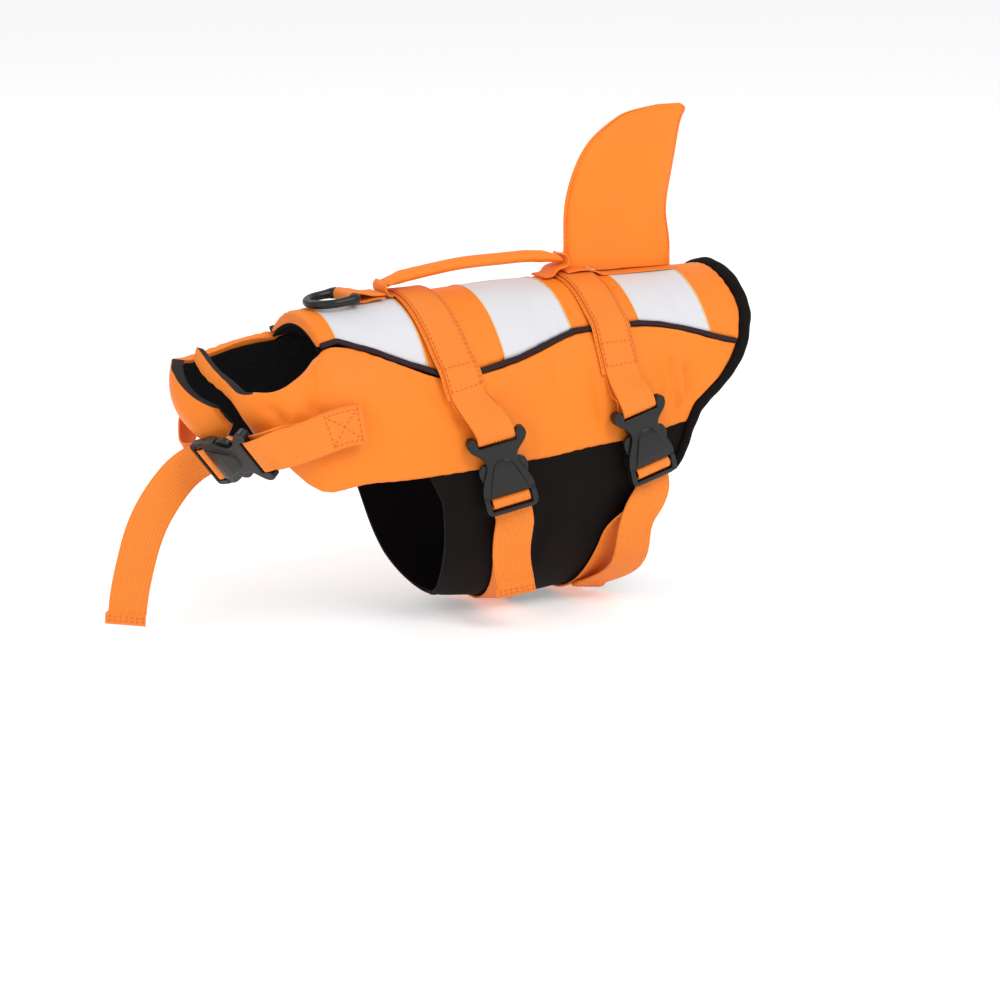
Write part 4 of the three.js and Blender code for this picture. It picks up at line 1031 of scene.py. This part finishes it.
# The grab handle along the spine: a padded grip of orange cloth rolled round foam, closed by a seam
# underneath, whose flattened ends are folded back and sewn down between the straps and the saddle.
GRIP = [(-29.5, 109.8), (-17, 112.8), (5, 116), (30, 118.3), (65, 119), (92, 117.8), (104, 115.6)]   # x, z
GRIP_HIGH = 4.4
GRIP_BROAD = 6.5
ANCHORS = {"handle_front": [(-30.6, 111.8), (-32.3, 109.8), (-32.4, 107), (-31, 104.3), (-29, 102.9),
                            (-26.8, 102.6)],
           "handle_rear": [(105.4, 119.4), (107.2, 116), (106.8, 112.4), (102.6, 110.8), (98, 108.7),
                           (95.5, 106), (92.5, 105.4), (88.5, 105.5)]}
LEVEL = (0, 1, 0)                         # straight across the spine


def in_spine_plane(rows):
    """Points over the spine, given as x and z."""
    return [(x, 0, z) for x, z in rows]


path, at = smooth_path(in_spine_plane(GRIP), 0.9)
path = path[::-1]
section, girth = round_section(GRIP_HIGH, GRIP_BROAD, 44)
angle = np.arctan2(section[:, 1] / GRIP_BROAD, section[:, 0] / GRIP_HIGH)[None]
from_end = np.minimum(at, at[-1] - at)[:, None]
flat_end = np.clip(from_end / 13, 0, 1) ** 0.7
run = at[:, None]
wrinkle = (0.30 * np.sin(run / 1.9 + 1.3 * np.sin(run / 9 + angle)) * np.exp(-from_end / 16)
           + 0.14 * np.sin(run / 6.1 + 2 * np.sin(angle + 1) + 1.7 * np.sin(run / 23)))
size = 1 + wrinkle / 5
shape = np.stack([section[None, :, 0] * (0.52 + 0.48 * flat_end) * size,
                  section[None, :, 1] * (1.06 - 0.06 * flat_end) * size], -1)
under = directions(path, LEVEL)[2][40, 2] * shape[..., 0] < 0
shape[..., 0] = np.where(under, shape[..., 0] * 0.82, shape[..., 0])
grip = swept("handle_grip", path, LEVEL, shape, girth, orange_cloth, 75)
for name, rows in ANCHORS.items():
    path, at = smooth_path(in_spine_plane(rows), 0.7)
    fold = ribbon_section(17, 1.6)
    fan = 1 + 0.10 * np.sin(at / at[-1] * math.pi * 0.8)
    shape = fold[None] * np.stack([1 + 0 * fan, fan], -1)[:, None]
    shape = shape + np.stack([0.25 * np.sin(fold[None, :, 1] / 2.6 + at[:, None] / 4), 0 * shape[..., 1]], -1)
    end = swept(name, path, LEVEL, shape, fold[:, 1], orange_cloth)
    round(at[-1] / 1000, 3)

# The fin: two faces of orange cloth over a leaf of foam, joined by a flat sewn edge all round, that
# stands on a narrow foot of tape over the spine.
FIN = np.array([(103, 106.5, 194.5, 7), (112, 107.6, 194.2, 8.4), (121, 108.4, 194, 9),
                (141, 108.4, 191, 9.5), (160, 111, 193, 9.5), (175, 116.5, 196, 9), (188, 124, 198.5, 8),
                (200, 136.5, 200.8, 7), (208, 149.5, 204, 6), (212.8, 165, 204.8, 4.6),
                (215.2, 183, 201, 3)])                                     # z, front, rear, thick
FIN_FOOT = np.array([(106, 109.2), (126, 109.0), (134, 105.9), (195, 104.9)])    # x, z of the foot
FIN_CREASES = [(120, 0, 118, 126, 0, 178, 5, -0.7), (176, 0, 112, 184, 0, 158, 6, -0.8),
               (150, 0, 116, 148, 0, 150, 6, -0.5), (160, 0, 200, 192, 0, 176, 6, -0.5),
               (138, 0, 192, 150, 0, 166, 5, -0.5), (186, 0, 196, 178, 0, 170, 5, -0.5),
               (112, 0, 150, 124, 0, 140, 3.5, -0.4)]
FLANGE = 2.4                              # the flat sewn edge
FIN_TOP = 215.2
height = np.linspace(103, FIN_TOP, 86)
rows = natural_curve(FIN[:, 0], FIN[:, 1:], height)
share = (1 - np.cos(np.linspace(0, np.pi, 64))) / 2
share = 0.5 * share + 0.5 * np.linspace(0, 1, 64)
width = (rows[:, 1] - rows[:, 0])[:, None]
x = rows[:, :1] + width * share[None]
z = np.maximum(height[:, None] + 0 * x, np.interp(x, FIN_FOOT[:, 0], FIN_FOOT[:, 1]))
from_front, from_rear = share * width, (1 - share) * width
from_edge = np.minimum(np.minimum(from_front, from_rear), (FIN_TOP - height[:, None]) * 1.1 + 0.4)
puffed = np.clip((from_edge - FLANGE) / 16, 0, 1)
half = np.minimum(0.35 + from_edge * 1.2, 1.15) + (rows[:, 2:] / 2 - 1.0) * np.sqrt(puffed * (2 - puffed))
half -= 0.35 * np.exp(-((from_edge - FLANGE) / 0.9) ** 2)
cloth_at = np.stack([x, 0 * x, z], -1)
sag = creases(cloth_at, FIN_CREASES, [0, 2])
ripple = 0.4 * np.sin(height[:, None] / 3.4 + 1.5 * np.sin(height[:, None] / 19))
ripple = ripple * np.exp(-((from_edge - FLANGE - 2) / 3) ** 2)
faces_out = []
for side in (-1, 1):
    puff = puffed * (sag if side < 0 else sag[::-1] * 0.7) + ripple * (0.5 if side < 0 else 0.4)
    puff += 0.25 * puffed * swell(cloth_at + (0, side * 9, 0), 40, 71)
    bow = 0.9 * np.sin((z - 105) / 110 * np.pi) * np.sin((x - 108) / 90 * np.pi)
    faces_out.append(np.stack([x, side * np.maximum(half + puff, 0.3) + bow * (z > 112), z], -1))
form = wall(faces_out[0], faces_out[1])
fin = piece("fin", form, [orange_cloth], ["fin"], sharp=70)
for face, away in zip(faces_out, (-0.12, 0.12)):
    for distance in (from_front, from_rear):
        column = np.abs(distance - FLANGE * 0.75).argmin(1)
        seams.append(np.array([face[row, column[row]] + (0, away, 0) for row in range(10, 84)]))
FIN_BASE = np.array([(106, 4.4), (127, 4.3), (130.2, 3.0), (133.4, 1.6), (138, 1.1), (148, 0.95),
                     (165, 0.95), (179, 0.95), (194, 0.9)])                # x, height over the worn shape
FOOT_DROOP = 0.0095                       # the strip's sides follow the arch of the back
FOOT_SEAM = 8.2
keys = [on_torso(x, 0, lift).reshape(3) for x, lift in FIN_BASE]
path, at = smooth_path(keys, 1.2)
foot = ribbon_section(20, 1.2)
foot[:, 0] += FOOT_DROOP * foot[:, 1] ** 2
base = swept("fin_base", path, LEVEL, foot, foot[:, 1], orange_tape)
round(at[-1] / 1000, 3)
for side in (-1, 1):
    seams.append(path + np.array((0, side * FOOT_SEAM, 0.5 - FOOT_DROOP * FOOT_SEAM ** 2)))

# The leash ring: a moulded black D that swings on its straight bar, held by a loop of webbing that is
# sewn down under the front end of the handle.
RING_BAR = np.array((-57, 0, 104.3))
RING_LIE = math.radians(6.2)
RING_ROD = 2.9
RING_STEPS = 180
ROD_SIDES = 20
LOOP_RADIUS = 3.65                        # of the webbing's turn round the bar
arc = [(12 + 15 * math.sin(a), -15.4 * math.cos(a)) for a in np.linspace(0, math.pi, 25)]
ahead_side = [(0, 0), (0, -6), (0, -11), (0.9, -14.2), (4, -15.4), (8, -15.4), *arc,
              (8, 15.4), (4, 15.4), (0.9, 14.2), (0, 11), (0, 6), (0, 0)]
points = np.array([RING_BAR + (-a * math.cos(RING_LIE), s, -a * math.sin(RING_LIE)) for a, s in ahead_side])
knots = travelled(points)
around = np.linspace(0, knots[-1], RING_STEPS + 1)[:-1]
path = np.stack([np.interp(around, knots, points[:, k]) for k in range(3)], -1)
path = sum(np.roll(path, k, axis=0) for k in range(-2, 3)) / 5
along = unit(np.roll(path, -1, axis=0) - np.roll(path, 1, axis=0))
ring_up = np.array((-math.sin(RING_LIE), 0, math.cos(RING_LIE)))
beside_rod = np.cross(along, ring_up)
angle = np.linspace(0, 2 * np.pi, ROD_SIDES, endpoint=False)
corner = np.minimum(*[np.linalg.norm(path - (RING_BAR + (-1, side, 0)), axis=1) for side in (-14.2, 14.2)])
thick = RING_ROD * (1 + 0.32 * np.exp(-(corner / 4.5) ** 2))[:, None, None]      # fuller at the corners
turned = np.cos(angle)[None, :, None] * ring_up + np.sin(angle)[None, :, None] * beside_rod[:, None]
rod = path[:, None] + thick * turned
index = np.arange(RING_STEPS * ROD_SIDES).reshape(-1, ROD_SIDES)
after, following = np.roll(index, -1, axis=1), np.roll(index, -1, axis=0)
faces = np.stack([index, after, np.roll(following, -1, axis=1), following], -1).reshape(-1, 4)
flat = np.stack([np.repeat(around, ROD_SIDES), np.tile(angle * 2.6, RING_STEPS)], -1)
form = (rod.reshape(-1, 3), faces, flat, np.zeros(len(faces), int))
ring = piece("leash_ring", form, [plastic.material], ["leash_ring"], body="leash_ring", sharp=80)
wrap = [(RING_BAR[0] + LOOP_RADIUS * math.cos(a), RING_BAR[2] + LOOP_RADIUS * math.sin(a))
        for a in np.radians([-60, -100, -140, 180, 140, 100, 60])]
keys = [(-34, 102.4), (-44, 101.8), (-50, 101.0), *wrap, (-50, 106.6), (-44, 105), (-34, 104.6)]
path, at = smooth_path(in_spine_plane(keys), 0.8)
loop_section = ribbon_section(22, 1.4, 0.22, 2.0)
loop = swept("leash_ring_loop", path, LEVEL, loop_section, loop_section[:, 1], orange_webbing)
round(at[-1] / 1000, 3)

# Seams: the stitches of orange thread that show on the webbing, the folded ends, the fin and its foot, and a
# thin pale line swept along each seam between the white and the orange bands.
STITCH = 0.0024
STITCH_GAP = 0.0034
THREAD = 0.00030


def sewn(name, lines, thread):
    """Stitches along lines: the lines are cut into even steps and a short thread lies on each."""
    mesh = bpy.data.meshes.new(name)
    starts = np.cumsum([0] + [len(line) for line in lines])
    edges = [(k, k + 1) for start, line in zip(starts, lines) for k in range(start, start + len(line) - 1)]
    mesh.from_pydata((np.concatenate(lines) / 1000).tolist(), edges, [])
    made = bpy.data.objects.new(name, mesh)
    bpy.context.collection.objects.link(made)
    tree = bpy.data.node_groups.new(name, "GeometryNodeTree")
    tree.interface.new_socket("Geometry", in_out="INPUT", socket_type="NodeSocketGeometry")
    tree.interface.new_socket("Geometry", in_out="OUTPUT", socket_type="NodeSocketGeometry")

    def node(kind, **inputs):
        new = tree.nodes.new(kind)
        for key, value in inputs.items():
            socket = new.inputs[key.replace("_", " ")]
            if hasattr(value, "is_output"):
                tree.links.new(value, socket)
            else:
                socket.default_value = value
        return new

    into = tree.nodes.new("NodeGroupInput")
    curve = node("GeometryNodeMeshToCurve", Mesh=into.outputs[0])
    steps = node("GeometryNodeCurveToPoints", Curve=curve.outputs[0])
    steps.mode = "LENGTH"
    steps.inputs["Length"].default_value = STITCH_GAP
    bead = node("GeometryNodeMeshUVSphere", Segments=7, Rings=5, Radius=THREAD)
    longer = node("GeometryNodeTransform", Geometry=bead.outputs["Mesh"], Scale=(1, 0.8, STITCH / 2 / THREAD))
    laid_out = node("GeometryNodeInstanceOnPoints", Points=steps.outputs["Points"],
                    Instance=longer.outputs["Geometry"], Rotation=steps.outputs["Rotation"])
    real = node("GeometryNodeRealizeInstances", Geometry=laid_out.outputs["Instances"])
    painted = node("GeometryNodeSetMaterial", Geometry=real.outputs[0], Material=thread)
    out = tree.nodes.new("NodeGroupOutput")
    tree.links.new(painted.outputs[0], out.inputs[0])
    grow = made.modifiers.new("stitches", "NODES")
    grow.node_group = tree
    stitches = settled(made)
    made.modifiers.clear()
    made.data = stitches
    stitches.shade_smooth()
    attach(made, "jacket")


# A thin pale line along each seam between the white and the orange bands.
pale_tape = smooth_tape("pale_tape", (0.86, 0.62, 0.30))
for name, edge, *_ in BANDS[1:]:
    half = np.interp(edge, PIPED[:, 0], PIPED[:, 1]) - 1.8
    turns = np.linspace(-half, half, 90)
    path = on_torso(edge, turns, 0.12 + 0.35 * swell(on_torso(edge, turns), 55, 5))
    tape, girth = round_section(0.34, 0.5, 8)
    piece(f"pale_edge_{name}", sweep(path, (1, 0, 0), tape, girth), [pale_tape], sharp=80)

thread = Finish("orange_thread", (0.72, 0.125, 0.010), 0.45, 0.2)
thread.tint(thread.noise(0.004), 0.85, 1.1)
sewn("orange_thread", seams, thread.material)
